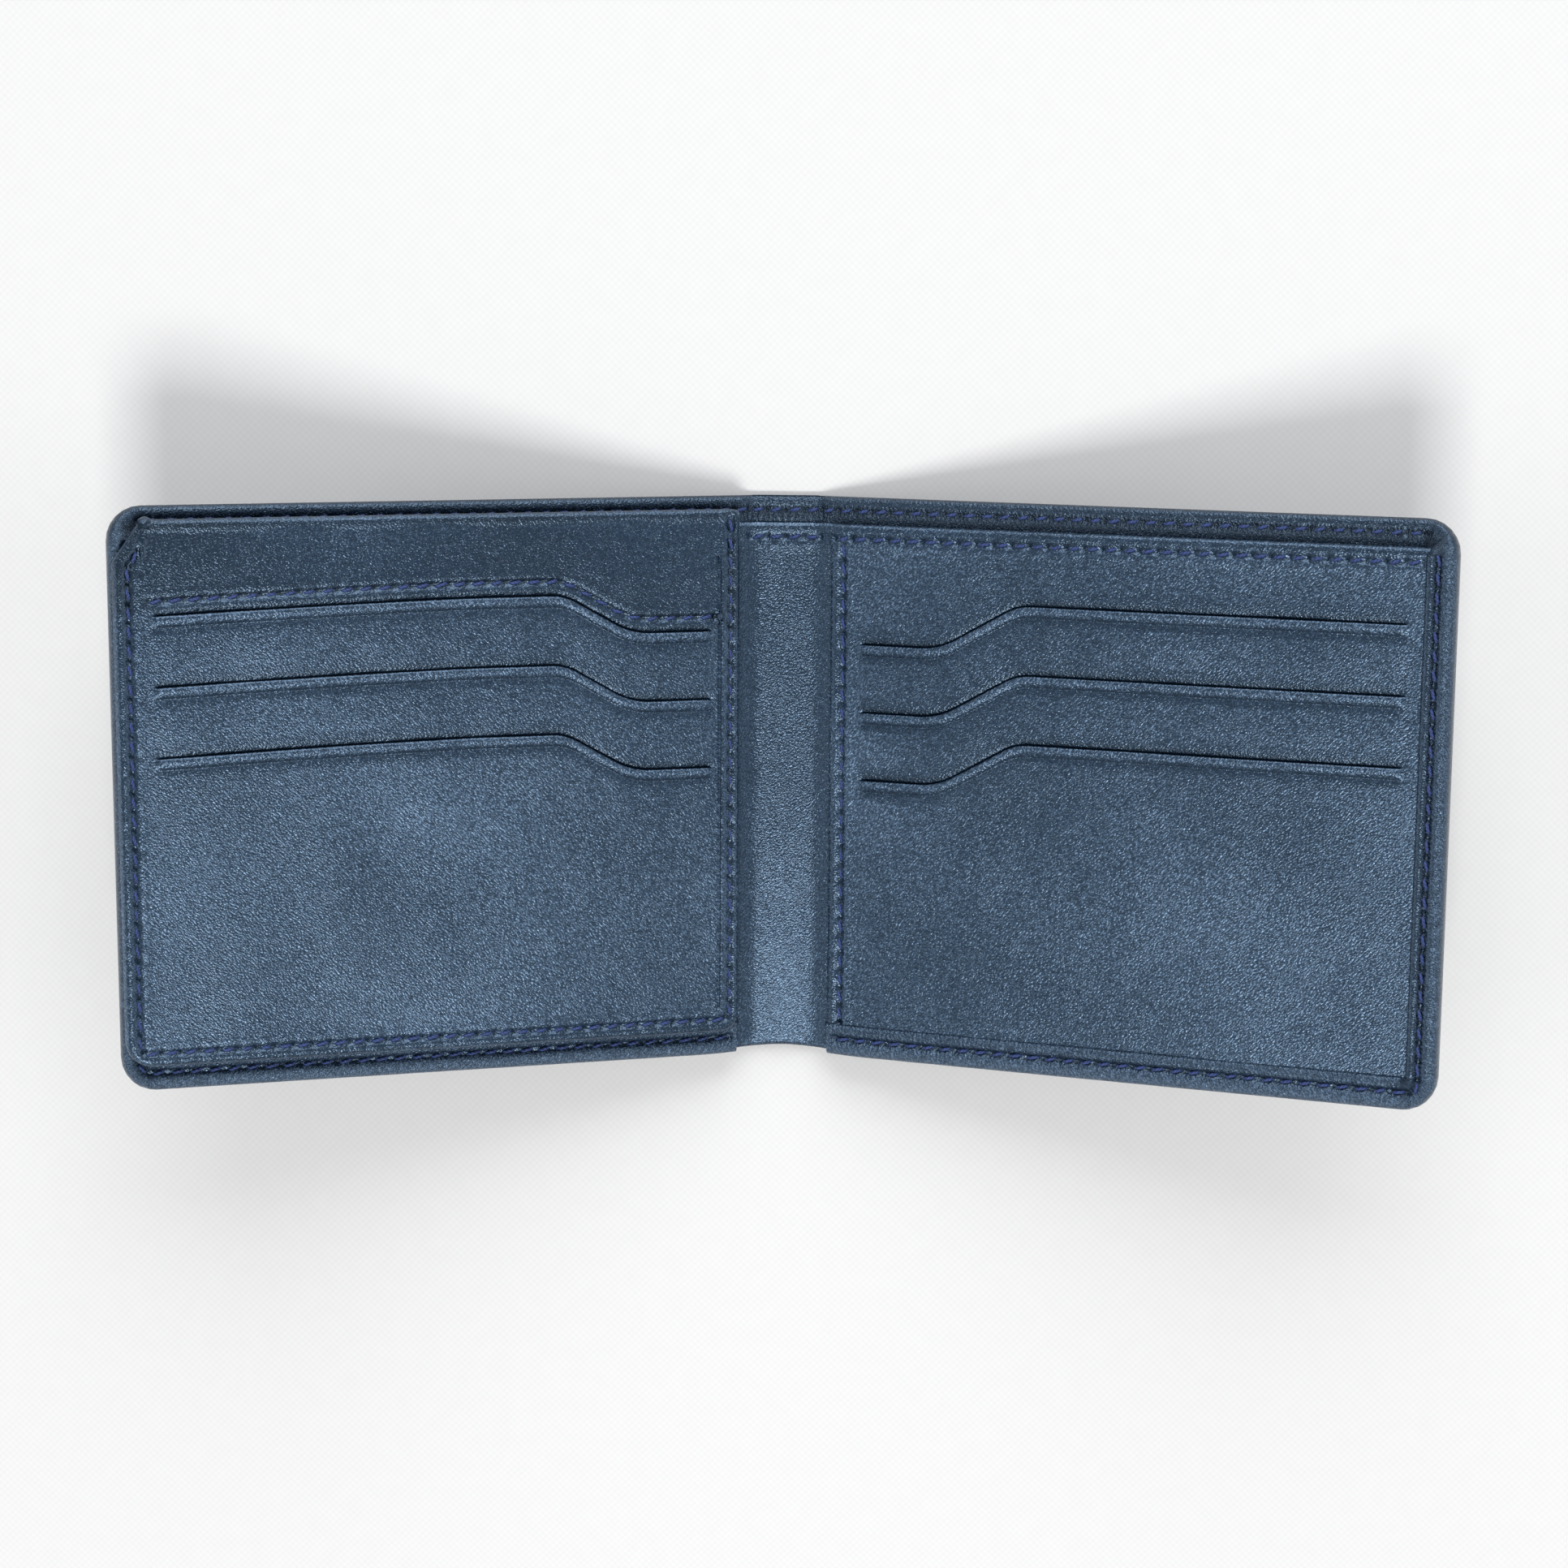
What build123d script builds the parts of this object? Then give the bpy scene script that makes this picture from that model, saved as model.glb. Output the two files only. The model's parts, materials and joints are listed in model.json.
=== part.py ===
"""Navy leather wallet of three leaves: two folding halves on a narrow spine, and a flip-up card flap.

Frame: +X across the open wallet, +Y towards its top edge, +Z up.  The origin is on the floor under
the middle of the spine.  The wallet stands open in a shallow V, with its spine flat on the floor.
Each half is drawn flat, with x outward from its crease, y up the wallet and z from the cover's outer
face, and is then turned up about its crease.  Units are millimetres and degrees.
"""
from build123d import *
import os
from math import cos, radians, sin

# ---- Driving sizes -------------------------------------------------------------------------------
WALLET_HEIGHT = 94.0         # along the creases
SPINE_WIDTH = 12.5           # between the two crease axes
HALF_LENGTH = 104.2          # crease axis to outer edge
REST_ANGLE = 17.5            # how far each half is lifted from flat
CORNER_RADIUS = 5.5          # outer corners of the cover
CARD_SLOT_LENGTH = 88.4      # a slot for an 85.6 mm card

# ---- Thicknesses ---------------------------------------------------------------------------------
COVER_LEATHER = 1.0
STIFFENER_BOARD = 0.3
COVER_LINING = 0.2
BILL_GAP = 0.5               # closed height of the bill compartment
LINER_LEATHER = 0.5
POCKET_LINING = 0.2
FACING_LEATHER = 0.7
TURNED_LEATHER = 0.6
THREAD_HEIGHT = 0.25
THREAD_WIDTH = 0.8
FLAP_BACK_LEATHER = 0.55
FLAP_FILM = 0.2
FLAP_LINING = 0.15
FLAP_RUNNING_GAP = 0.3       # between the flap's back and the stitches below it

# ---- Seams and edges -----------------------------------------------------------------------------
CREASE_GAP = 0.8             # crease axis to the half's cover
PANEL_START = 2.3            # crease axis to the inner layers
SIDE_BORDER = 4.9            # width of the turned edge along the outer side
BOTTOM_BORDER = 5.5          # width of the turned edge along the bottom
EDGE_WALL = 0.8              # leather that rounds the edge
TOP_BAND = 4.4               # the cover's own turned edge inside the bill compartment
STITCH_SIDE = 3.0            # outer edge to the side seam
STITCH_BOTTOM = 3.1          # bottom edge to the bottom seam
STITCH_INSET = 2.3           # any other edge to its seam
SPINE_LAYER_HALF = 5.2       # half width of the layers that lie on the spine

# ---- Card slots ----------------------------------------------------------------------------------
SLOT_COUNT = 3
SLOT_START = 7.9             # crease axis to the slot's inner end
SLOT_WIDTH = 0.5
WAVE_START = 18.0            # crease axis to the foot of the slot's step
WAVE_SLOPE = 30.0            # slope of the step, degrees
WAVE_FOOT_RADIUS = 12.0
WAVE_HEAD_RADIUS = 8.0
PANEL_SLOT_TOP = 30.6        # height of the first slot on the panels
PANEL_SLOT_PITCH = 11.3
PANEL_SLOT_STEP = 7.6
FLAP_SLOT_TOP = 31.8
FLAP_SLOT_PITCH = 11.3
FLAP_SLOT_STEP = 6.4
POCKET_DEPTH = 55.0          # how far a card goes in
POCKET_MARGIN = 5.0          # lining above the slot that it is glued to

# ---- Flap ----------------------------------------------------------------------------------------
FLAP_START = 2.9
FLAP_END = 103.7
FLAP_BOTTOM = -42.4
FLAP_TOP = 45.2
FLAP_CORNER = 4.5
FLAP_INNER_CORNER = 1.5
FLAP_CUT_X = 4.6             # the cut-off outer top corner
FLAP_CUT_Y = 6.5
FLAP_WALL = 3.0              # glued rim between the flap's two faces
HINGE_STRIP = 6.4            # height of the flap's hinge leather on each side
HINGE_AXIS_DROP = 1.0        # the hinge axis below the flap's top fold
HINGE_AXIS_GAP = 0.1         # the hinge axis below the flap's back
WINDOW_WIDTH = 80.0
WINDOW_HEIGHT = 50.0
WAVE_SEAM_RISE = 2.4         # seam above the flap's first slot

# ---- Levels, from the cover's outer face ---------------------------------------------------------
HALF_HEIGHT = WALLET_HEIGHT / 2
PIVOT_Z = COVER_LEATHER / 2
STIFFENER_Z = COVER_LEATHER
LINING_Z = STIFFENER_Z + STIFFENER_BOARD
BILL_Z = LINING_Z + COVER_LINING
LINER_Z = BILL_Z + BILL_GAP
POCKET_Z = LINER_Z + LINER_LEATHER
FACING_Z = POCKET_Z + SLOT_COUNT * POCKET_LINING
BORDER_Z = FACING_Z + FACING_LEATHER
BORDER_TOP_Z = BORDER_Z + TURNED_LEATHER
FLAP_Z = BORDER_TOP_Z + THREAD_HEIGHT + FLAP_RUNNING_GAP
FILM_Z = FLAP_Z + FLAP_BACK_LEATHER
FLAP_POCKET_Z = FILM_Z + FLAP_FILM
FLAP_FACING_Z = FLAP_POCKET_Z + SLOT_COUNT * FLAP_LINING
FLAP_TOP_Z = FLAP_FACING_Z + FACING_LEATHER
TOP_BAND_HEIGHT = 0.9        # the cover's turned top edge, above the cover
SPINE_LINING_HEIGHT = 0.2
SPINE_BAND_HEIGHT = 0.4
SPINE_LINER_Z = 1.5

# ---- Places worked out from the sizes above ------------------------------------------------------
INNER_TOP = HALF_HEIGHT - TOP_BAND
INNER_BOTTOM = EDGE_WALL - HALF_HEIGHT
INNER_END = HALF_LENGTH - EDGE_WALL
BORDER_X = HALF_LENGTH - SIDE_BORDER
BORDER_Y = BOTTOM_BORDER - HALF_HEIGHT
HINGE_Y = FLAP_TOP - HINGE_AXIS_DROP
HINGE_Z = FLAP_Z - HINGE_AXIS_GAP
SLOT_END = SLOT_START + CARD_SLOT_LENGTH


# ---- Helpers -------------------------------------------------------------------------------------
def plate(plan, bottom, thickness):
    """A flat layer of the given plan."""
    return Pos(0, 0, bottom) * extrude(plan, amount=thickness)


def span(x_low, x_high, y_low, y_high):
    """A plain rectangle between two x and two y values."""
    middle = Pos((x_low + x_high) / 2, (y_low + y_high) / 2)
    return middle * Rectangle(x_high - x_low, y_high - y_low)


def rounded(x_low, x_high, y_low, y_high, radius):
    """A rectangle whose two outer corners, at x_high, are round."""
    plan = span(x_low, x_high, y_low, y_high)
    return fillet(plan.vertices().group_by(Axis.X)[-1], radius)


def strip(x_low, x_high, y_low, y_high, bottom):
    """One seam's thread, as a thin raised strip."""
    return plate(span(x_low, x_high, y_low, y_high), bottom, THREAD_HEIGHT)


def wave_line(x_low, x_high, y_high, step):
    """A line that runs low near the crease and steps up to y_high, with round corners."""
    slope = radians(WAVE_SLOPE)
    corner_rise = (WAVE_FOOT_RADIUS + WAVE_HEAD_RADIUS) * (1 - cos(slope))
    foot_run = WAVE_FOOT_RADIUS * sin(slope)
    straight_run = (step - corner_rise) * cos(slope) / sin(slope)
    step_start = WAVE_START + foot_run - WAVE_FOOT_RADIUS * (1 - cos(slope)) * cos(slope) / sin(slope)
    step_end = step_start + straight_run + corner_rise * cos(slope) / sin(slope)
    points = [(x_low, y_high - step), (step_start, y_high - step), (step_end, y_high), (x_high, y_high)]
    return FilletPolyline(*points, radius=[WAVE_FOOT_RADIUS, WAVE_HEAD_RADIUS])


def wave_ribbon(x_low, x_high, y_high, step, width):
    """The area of a wavy line with a width in y."""
    lower = wave_line(x_low, x_high, y_high - width / 2, step)
    upper = Pos(0, width) * lower
    ends = [Line(lower @ 0, upper @ 0), Line(lower @ 1, upper @ 1)]
    return make_face([*lower.edges(), *upper.edges(), *ends])


def slots(top, pitch, step):
    """The openings of the three card slots."""
    return [wave_ribbon(SLOT_START, SLOT_END, top - row * pitch, step, SLOT_WIDTH)
            for row in range(SLOT_COUNT)]


# ---- Pieces that both halves have ----------------------------------------------------------------
def cover_layers():
    """The cover leather, its stiffener and the lining of the bill compartment."""
    cover = rounded(CREASE_GAP, HALF_LENGTH, -HALF_HEIGHT, HALF_HEIGHT, CORNER_RADIUS)
    inside = inner_plan()
    band = cover & span(PANEL_START, HALF_LENGTH, INNER_TOP, HALF_HEIGHT)
    return {
        "cover": plate(cover, 0, COVER_LEATHER),
        "stiffener": plate(inside, STIFFENER_Z, STIFFENER_BOARD),
        "cover_lining": plate(inside, LINING_Z, COVER_LINING),
        "cover_top_edge": plate(band, COVER_LEATHER, TOP_BAND_HEIGHT),
    }


def inner_plan():
    """The plan of every layer that is sewn in under the turned edge."""
    corner = CORNER_RADIUS - EDGE_WALL
    whole = rounded(PANEL_START, INNER_END, INNER_BOTTOM, HALF_HEIGHT, corner)
    return whole & span(PANEL_START, INNER_END, INNER_BOTTOM, INNER_TOP)


def turned_edges():
    """The cover's edge, which rounds the side and the bottom and lies on the card panel."""
    whole = rounded(PANEL_START, HALF_LENGTH, -HALF_HEIGHT, HALF_HEIGHT, CORNER_RADIUS)
    ring = whole - rounded(PANEL_START, INNER_END, INNER_BOTTOM, HALF_HEIGHT, CORNER_RADIUS - EDGE_WALL)
    inner_corner = (BORDER_X, BORDER_Y)
    outer_corner = (HALF_LENGTH, -HALF_HEIGHT)
    side = Polygon(inner_corner, outer_corner, (HALF_LENGTH, INNER_TOP), (BORDER_X, INNER_TOP), align=None)
    bottom = Polygon((PANEL_START, -HALF_HEIGHT), outer_corner, inner_corner, (PANEL_START, BORDER_Y),
                     align=None)
    wall = BORDER_Z - COVER_LEATHER
    return {
        "edge_wall_side": plate(ring & side, COVER_LEATHER, wall),
        "edge_wall_bottom": plate(ring & bottom, COVER_LEATHER, wall),
        "turned_edge_side": plate(whole & side, BORDER_Z, TURNED_LEATHER),
        "turned_edge_bottom": plate(whole & bottom, BORDER_Z, TURNED_LEATHER),
    }


def card_layers():
    """The liner, the three pocket linings and the slotted card panel."""
    facing = inner_plan()
    for slot in slots(PANEL_SLOT_TOP, PANEL_SLOT_PITCH, PANEL_SLOT_STEP):
        facing -= slot
    layers = {"liner": plate(inner_plan(), LINER_Z, LINER_LEATHER)}
    for row in range(SLOT_COUNT):
        top = PANEL_SLOT_TOP - row * PANEL_SLOT_PITCH + POCKET_MARGIN
        bottom = max(top - POCKET_MARGIN - POCKET_DEPTH, INNER_BOTTOM + POCKET_LINING)
        plan = span(SLOT_START - POCKET_MARGIN / 2, SLOT_END + POCKET_MARGIN / 2, bottom, top)
        layers[f"pocket_lining_{row + 1}"] = plate(plan, POCKET_Z + row * POCKET_LINING, POCKET_LINING)
    layers["card_facing"] = plate(facing, FACING_Z, FACING_LEATHER)
    return layers


def half_threads(has_flap):
    """The seams of one half: the border, the cover's top edge and the card panel."""
    thread = THREAD_WIDTH / 2
    side_x = HALF_LENGTH - STITCH_SIDE
    bottom_y = STITCH_BOTTOM - HALF_HEIGHT
    band_y = HALF_HEIGHT - STITCH_INSET
    panel_x = PANEL_START + STITCH_INSET
    panel_y = INNER_TOP - STITCH_INSET
    panel_top_z = BORDER_TOP_Z if has_flap else BORDER_Z
    panel_side_top = INNER_TOP - HINGE_STRIP if has_flap else panel_y - THREAD_WIDTH
    side = span(side_x - thread, side_x + thread, bottom_y - thread, INNER_TOP - STITCH_INSET)
    bottom = span(PANEL_START + 1, side_x + thread, bottom_y - thread, bottom_y + thread)
    return {
        "thread_border": plate(side + bottom, BORDER_TOP_Z, THREAD_HEIGHT),
        "thread_cover_top": strip(PANEL_START, side_x, band_y - thread, band_y + thread,
                                  COVER_LEATHER + TOP_BAND_HEIGHT),
        "thread_panel_top": strip(panel_x - thread, BORDER_X - 1, panel_y - thread, panel_y + thread,
                                  panel_top_z),
        "thread_panel_side": strip(panel_x - thread, panel_x + thread, BORDER_Y, panel_side_top,
                                   BORDER_Z),
    }


def half(has_flap):
    """Every piece of one half, drawn flat."""
    return {**cover_layers(), **turned_edges(), **card_layers(), **half_threads(has_flap)}


# ---- The flap ------------------------------------------------------------------------------------
def flap_plan():
    """The flap's outline, with its outer top corner cut off."""
    plan = Polygon((FLAP_START, FLAP_BOTTOM), (FLAP_END, FLAP_BOTTOM), (FLAP_END, FLAP_TOP - FLAP_CUT_Y),
                   (FLAP_END - FLAP_CUT_X, FLAP_TOP), (FLAP_START, FLAP_TOP), align=None)
    plan = fillet(plan.vertices().sort_by(Axis.Y)[:2].sort_by(Axis.X)[-1], FLAP_CORNER)
    return fillet(plan.vertices().sort_by_distance((FLAP_START, FLAP_BOTTOM))[0], FLAP_INNER_CORNER)


def flap_pieces():
    """The flap: back frame with its window, film, pocket linings, slotted facing and seams."""
    plan = flap_plan()
    hinge_low = FLAP_TOP - HINGE_STRIP
    back = plan & span(FLAP_START, FLAP_END, FLAP_BOTTOM, hinge_low)
    hinge = plan & span(FLAP_START, FLAP_END, hinge_low, FLAP_TOP)
    centre_x = (FLAP_START + FLAP_END) / 2
    centre_y = (FLAP_BOTTOM + hinge_low) / 2
    window = Pos(centre_x, centre_y) * RectangleRounded(WINDOW_WIDTH, WINDOW_HEIGHT, FLAP_WALL)
    film = Pos(centre_x, centre_y) * Rectangle(WINDOW_WIDTH + 2 * FLAP_WALL, WINDOW_HEIGHT + 2 * FLAP_WALL)
    inside = span(FLAP_START + FLAP_WALL, FLAP_END - FLAP_WALL, FLAP_BOTTOM + FLAP_WALL, hinge_low)
    facing = plan
    for slot in slots(FLAP_SLOT_TOP, FLAP_SLOT_PITCH, FLAP_SLOT_STEP):
        facing -= slot
    frame = plate(back - window, FLAP_Z, FLAP_BACK_LEATHER)
    rim = plate(back - inside, FILM_Z, FLAP_FACING_Z - FILM_Z)
    pieces = {
        "flap_back_frame": frame + rim,
        "id_window_film": plate(film, FILM_Z, FLAP_FILM),
        "hinge_strip_flap": plate(hinge, FLAP_Z, FLAP_FACING_Z - FLAP_Z),
        "flap_facing": plate(facing, FLAP_FACING_Z, FACING_LEATHER),
    }
    for row in range(SLOT_COUNT):
        top = FLAP_SLOT_TOP - row * FLAP_SLOT_PITCH + POCKET_MARGIN
        bottom = max(top - POCKET_MARGIN - POCKET_DEPTH, FLAP_BOTTOM + FLAP_WALL)
        lining = span(FLAP_START + FLAP_WALL, FLAP_END - FLAP_WALL, bottom, top)
        level = FLAP_POCKET_Z + row * FLAP_LINING
        pieces[f"flap_pocket_lining_{row + 1}"] = plate(lining, level, FLAP_LINING)
    pieces.update(flap_threads())
    return pieces


def flap_threads():
    """The seam round three sides of the flap, and the wavy seam above its first slot."""
    thread = THREAD_WIDTH / 2
    left = FLAP_END - STITCH_INSET
    right = FLAP_START + STITCH_INSET / 2
    low = FLAP_BOTTOM + STITCH_INSET
    sides = span(right - thread, right + thread, low - thread, FLAP_TOP - STITCH_INSET)
    sides += span(left - thread, left + thread, low - thread, FLAP_TOP - FLAP_CUT_Y)
    sides += span(right - thread, left + thread, low - thread, low + thread)
    wave = wave_ribbon(SLOT_START, SLOT_END, FLAP_SLOT_TOP + WAVE_SEAM_RISE, FLAP_SLOT_STEP, THREAD_WIDTH)
    return {
        "thread_flap_edge": plate(sides, FLAP_TOP_Z, THREAD_HEIGHT),
        "thread_flap_wave": plate(wave, FLAP_TOP_Z, THREAD_HEIGHT),
    }


def hinge_strip_on_panel():
    """The part of the flap's hinge leather that is sewn to the left panel's top."""
    plan = span(FLAP_START, BORDER_X, INNER_TOP - HINGE_STRIP, INNER_TOP)
    return plate(plan, BORDER_Z, TURNED_LEATHER)


# ---- The spine -----------------------------------------------------------------------------------
def spine_layer(y_low, y_high, bottom, thickness):
    """A flat layer that lies on the spine."""
    return plate(span(-SPINE_LAYER_HALF, SPINE_LAYER_HALF, y_low, y_high), bottom, thickness)


def spine_pieces():
    """The strip of cover, linings and seams between the two creases."""
    section = Plane.XZ * SlotOverall(SPINE_WIDTH + COVER_LEATHER, COVER_LEATHER)
    cover_length = HALF_HEIGHT - INNER_BOTTOM
    cover = Pos(0, HALF_HEIGHT, PIVOT_Z) * extrude(section, amount=cover_length)
    thread = THREAD_WIDTH / 2
    band_y = HALF_HEIGHT - STITCH_INSET
    liner_y = INNER_TOP - STITCH_INSET
    return {
        "cover_spine": cover,
        "cover_lining_spine": spine_layer(INNER_BOTTOM, INNER_TOP, COVER_LEATHER, SPINE_LINING_HEIGHT),
        "cover_top_edge_spine": spine_layer(INNER_TOP, HALF_HEIGHT, COVER_LEATHER, SPINE_BAND_HEIGHT),
        "liner_spine": spine_layer(INNER_BOTTOM, INNER_TOP, SPINE_LINER_Z, LINER_LEATHER),
        "thread_cover_top_spine": spine_layer(band_y - thread, band_y + thread,
                                              COVER_LEATHER + SPINE_BAND_HEIGHT, THREAD_HEIGHT),
        "thread_liner_top_spine": spine_layer(liner_y - thread, liner_y + thread,
                                              SPINE_LINER_Z + LINER_LEATHER, THREAD_HEIGHT),
    }


# ---- Placing and writing -------------------------------------------------------------------------
def place(piece, side):
    """Turn a flat-drawn piece up about its crease; side is 1 on the right and -1 on the left."""
    drawn = piece if side > 0 else mirror(piece, about=Plane.YZ)
    crease = Pos(side * SPINE_WIDTH / 2, 0, PIVOT_Z)
    return crease * Rot(0, -side * REST_ANGLE, 0) * Pos(0, 0, -PIVOT_Z) * drawn


def wallet():
    """Every node's solid, by name."""
    nodes = dict(spine_pieces())
    for name, piece in half(has_flap=False).items():
        nodes[f"{name}_right"] = place(piece, 1)
    for name, piece in half(has_flap=True).items():
        nodes[f"{name}_left"] = place(piece, -1)
    nodes["hinge_strip_left"] = place(hinge_strip_on_panel(), -1)
    for name, piece in flap_pieces().items():
        nodes[name] = place(piece, -1)
    return nodes


os.makedirs("parts", exist_ok=True)
for node, solid in wallet().items():
    export_step(solid, f"parts/{node}.step")

hinge_height = HINGE_Z - PIVOT_Z
print("crease axes at x =", SPINE_WIDTH / 2, "z =", PIVOT_Z)
print("flap hinge passes through x =", round(hinge_height * sin(radians(REST_ANGLE)) - SPINE_WIDTH / 2, 4),
      "y =", HINGE_Y, "z =", round(PIVOT_Z + hinge_height * cos(radians(REST_ANGLE)), 4))
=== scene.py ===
"""Looks of a navy leather wallet of three leaves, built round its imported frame.

Every piece is drawn flat on its leaf and then laid in place.  A drawing's sizes are millimetres: u runs
outward from the leaf's crease, y up the wallet and h up from the cover's outer face.  Leaf.world turns
them into the frame's metres.  Past the crease u goes on, below zero, over the bend and along the spine.
"""

import json
import logging
import math
from collections.abc import Sequence
from dataclasses import dataclass, field
from enum import Enum

import bmesh
import bpy
import numpy as np
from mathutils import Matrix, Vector
from mathutils.geometry import delaunay_2d_cdt


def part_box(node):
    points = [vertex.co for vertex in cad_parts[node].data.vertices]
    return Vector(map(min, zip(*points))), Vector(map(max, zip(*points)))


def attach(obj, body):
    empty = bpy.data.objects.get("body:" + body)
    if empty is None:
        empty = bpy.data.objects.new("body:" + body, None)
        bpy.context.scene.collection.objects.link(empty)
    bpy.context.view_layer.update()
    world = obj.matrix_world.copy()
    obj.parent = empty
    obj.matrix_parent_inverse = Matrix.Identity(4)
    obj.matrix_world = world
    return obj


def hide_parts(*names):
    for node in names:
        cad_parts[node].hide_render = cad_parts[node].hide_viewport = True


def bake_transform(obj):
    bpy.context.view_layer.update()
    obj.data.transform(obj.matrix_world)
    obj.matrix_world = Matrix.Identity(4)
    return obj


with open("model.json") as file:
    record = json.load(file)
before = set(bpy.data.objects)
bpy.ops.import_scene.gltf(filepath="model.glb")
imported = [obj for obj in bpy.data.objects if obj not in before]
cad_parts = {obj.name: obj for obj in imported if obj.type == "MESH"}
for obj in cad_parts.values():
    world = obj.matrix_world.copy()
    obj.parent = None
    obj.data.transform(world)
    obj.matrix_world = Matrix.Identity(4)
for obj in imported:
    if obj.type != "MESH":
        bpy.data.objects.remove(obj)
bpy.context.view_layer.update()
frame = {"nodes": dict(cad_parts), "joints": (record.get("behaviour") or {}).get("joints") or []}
log = logging.getLogger("wallet")

MM = 0.001
Array = np.ndarray
Points = Sequence[tuple[float, ...]]
Levels = tuple[float, float]


# ---- Curves and spacing --------------------------------------------------------------------------
def ease(t: Array) -> Array:
    """Smooth step from 0 to 1, flat at both ends."""
    t = np.clip(t, 0.0, 1.0)
    return t * t * (3 - 2 * t)


def bell(distance: Array, width: float) -> Array:
    """1 at distance 0, falling smoothly to nothing past width."""
    return np.exp(-((distance / width) ** 2))


def spaced(low: float, high: float, coarse: float, fine: Points = ()) -> Array:
    """Places from low to high that lie closer together where there is detail.

    Args:
        low: first place.
        high: last place.
        coarse: usual step.
        fine: (place, reach, step) of each detail.

    Returns:
        The places, in order.
    """
    places = [low]
    while places[-1] < high:
        here = places[-1]
        near = [step + 0.3 * max(0.0, abs(here - place) - reach) for place, reach, step in fine]
        places.append(here + min([coarse, *near]))
    if high - places[-2] < (places[-1] - places[-2]) / 2 and len(places) > 2:
        places.pop()
    places[-1] = high
    return np.array(places)


def smooth_line(points: Points, per_span: int = 3) -> Array:
    """A smooth curve through every control point, of any number of columns.

    Args:
        points: control points, each with the same number of columns.
        per_span: points on the curve for each span between two of them.

    Returns:
        The points of the curve.
    """
    p = np.array(points, float)
    padded = np.vstack([2 * p[0] - p[1], p, 2 * p[-1] - p[-2]])
    rows = []
    for i in range(len(p) - 1):
        a, b, c, d = padded[i:i + 4]
        for t in np.arange(per_span) / per_span:
            rows.append(0.5 * (2 * b + (c - a) * t + (2 * a - 5 * b + 4 * c - d) * t * t
                               + (3 * b - a - 3 * c + d) * t ** 3))
    rows.append(p[-1])
    return np.array(rows)


def rounded_line(points: Points, radius: float, per_corner: int = 6) -> Array:
    """Straight runs through the points, with every inner corner rounded to radius.

    Args:
        points: ends and corners of the runs.
        radius: radius of every corner.
        per_corner: steps round a corner.

    Returns:
        The points of the line.
    """
    p = np.array(points, float)
    line = [p[0]]
    for a, b, c in zip(p[:-2], p[1:-1], p[2:]):
        run_in = (b - a) / np.linalg.norm(b - a)
        run_out = (c - b) / np.linalg.norm(c - b)
        cross = run_in[0] * run_out[1] - run_in[1] * run_out[0]
        turn = math.atan2(cross, run_in @ run_out)
        inward = math.copysign(1.0, turn) * np.array([-run_in[1], run_in[0]])
        start = b - run_in * radius * math.tan(abs(turn) / 2)
        centre = start + inward * radius
        for angle in np.linspace(0, turn, per_corner + 1):
            cos, sin = math.cos(angle), math.sin(angle)
            spoke = -inward * radius
            line.append(centre + np.array([cos * spoke[0] - sin * spoke[1], sin * spoke[0] + cos * spoke[1]]))
    line.append(p[-1])
    return np.array(line)


def lengths(line: Array) -> Array:
    """Distance along a line to each of its points."""
    steps = np.linalg.norm(np.diff(line, axis=0), axis=1)
    return np.concatenate([[0.0], np.cumsum(steps)])


def resampled(line: Array, places: Array) -> Array:
    """Points of a line at the given distances along it."""
    at = lengths(line)
    return np.stack([np.interp(places, at, column) for column in line.T], axis=-1)


@dataclass(frozen=True)
class Wander:
    """Slow random swell of a surface, from a few seeded waves."""

    seed: int
    shortest: float
    longest: float
    waves: int = 14

    def at(self, u: Array, y: Array) -> Array:
        """The swell at each place, about -1 to 1.

        Args:
            u: places outward.
            y: places up the wallet.

        Returns:
            The swell, in the shape of u and y.
        """
        random = np.random.default_rng(self.seed)
        total = np.zeros(np.broadcast(u, y).shape)
        for _ in range(self.waves):
            angle, phase = random.uniform(0, 2 * math.pi, 2)
            wave = 2 * math.pi / random.uniform(self.shortest, self.longest)
            total = total + np.sin(wave * (u * math.cos(angle) + y * math.sin(angle)) + phase)
        return total / math.sqrt(self.waves) / 1.5


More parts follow.
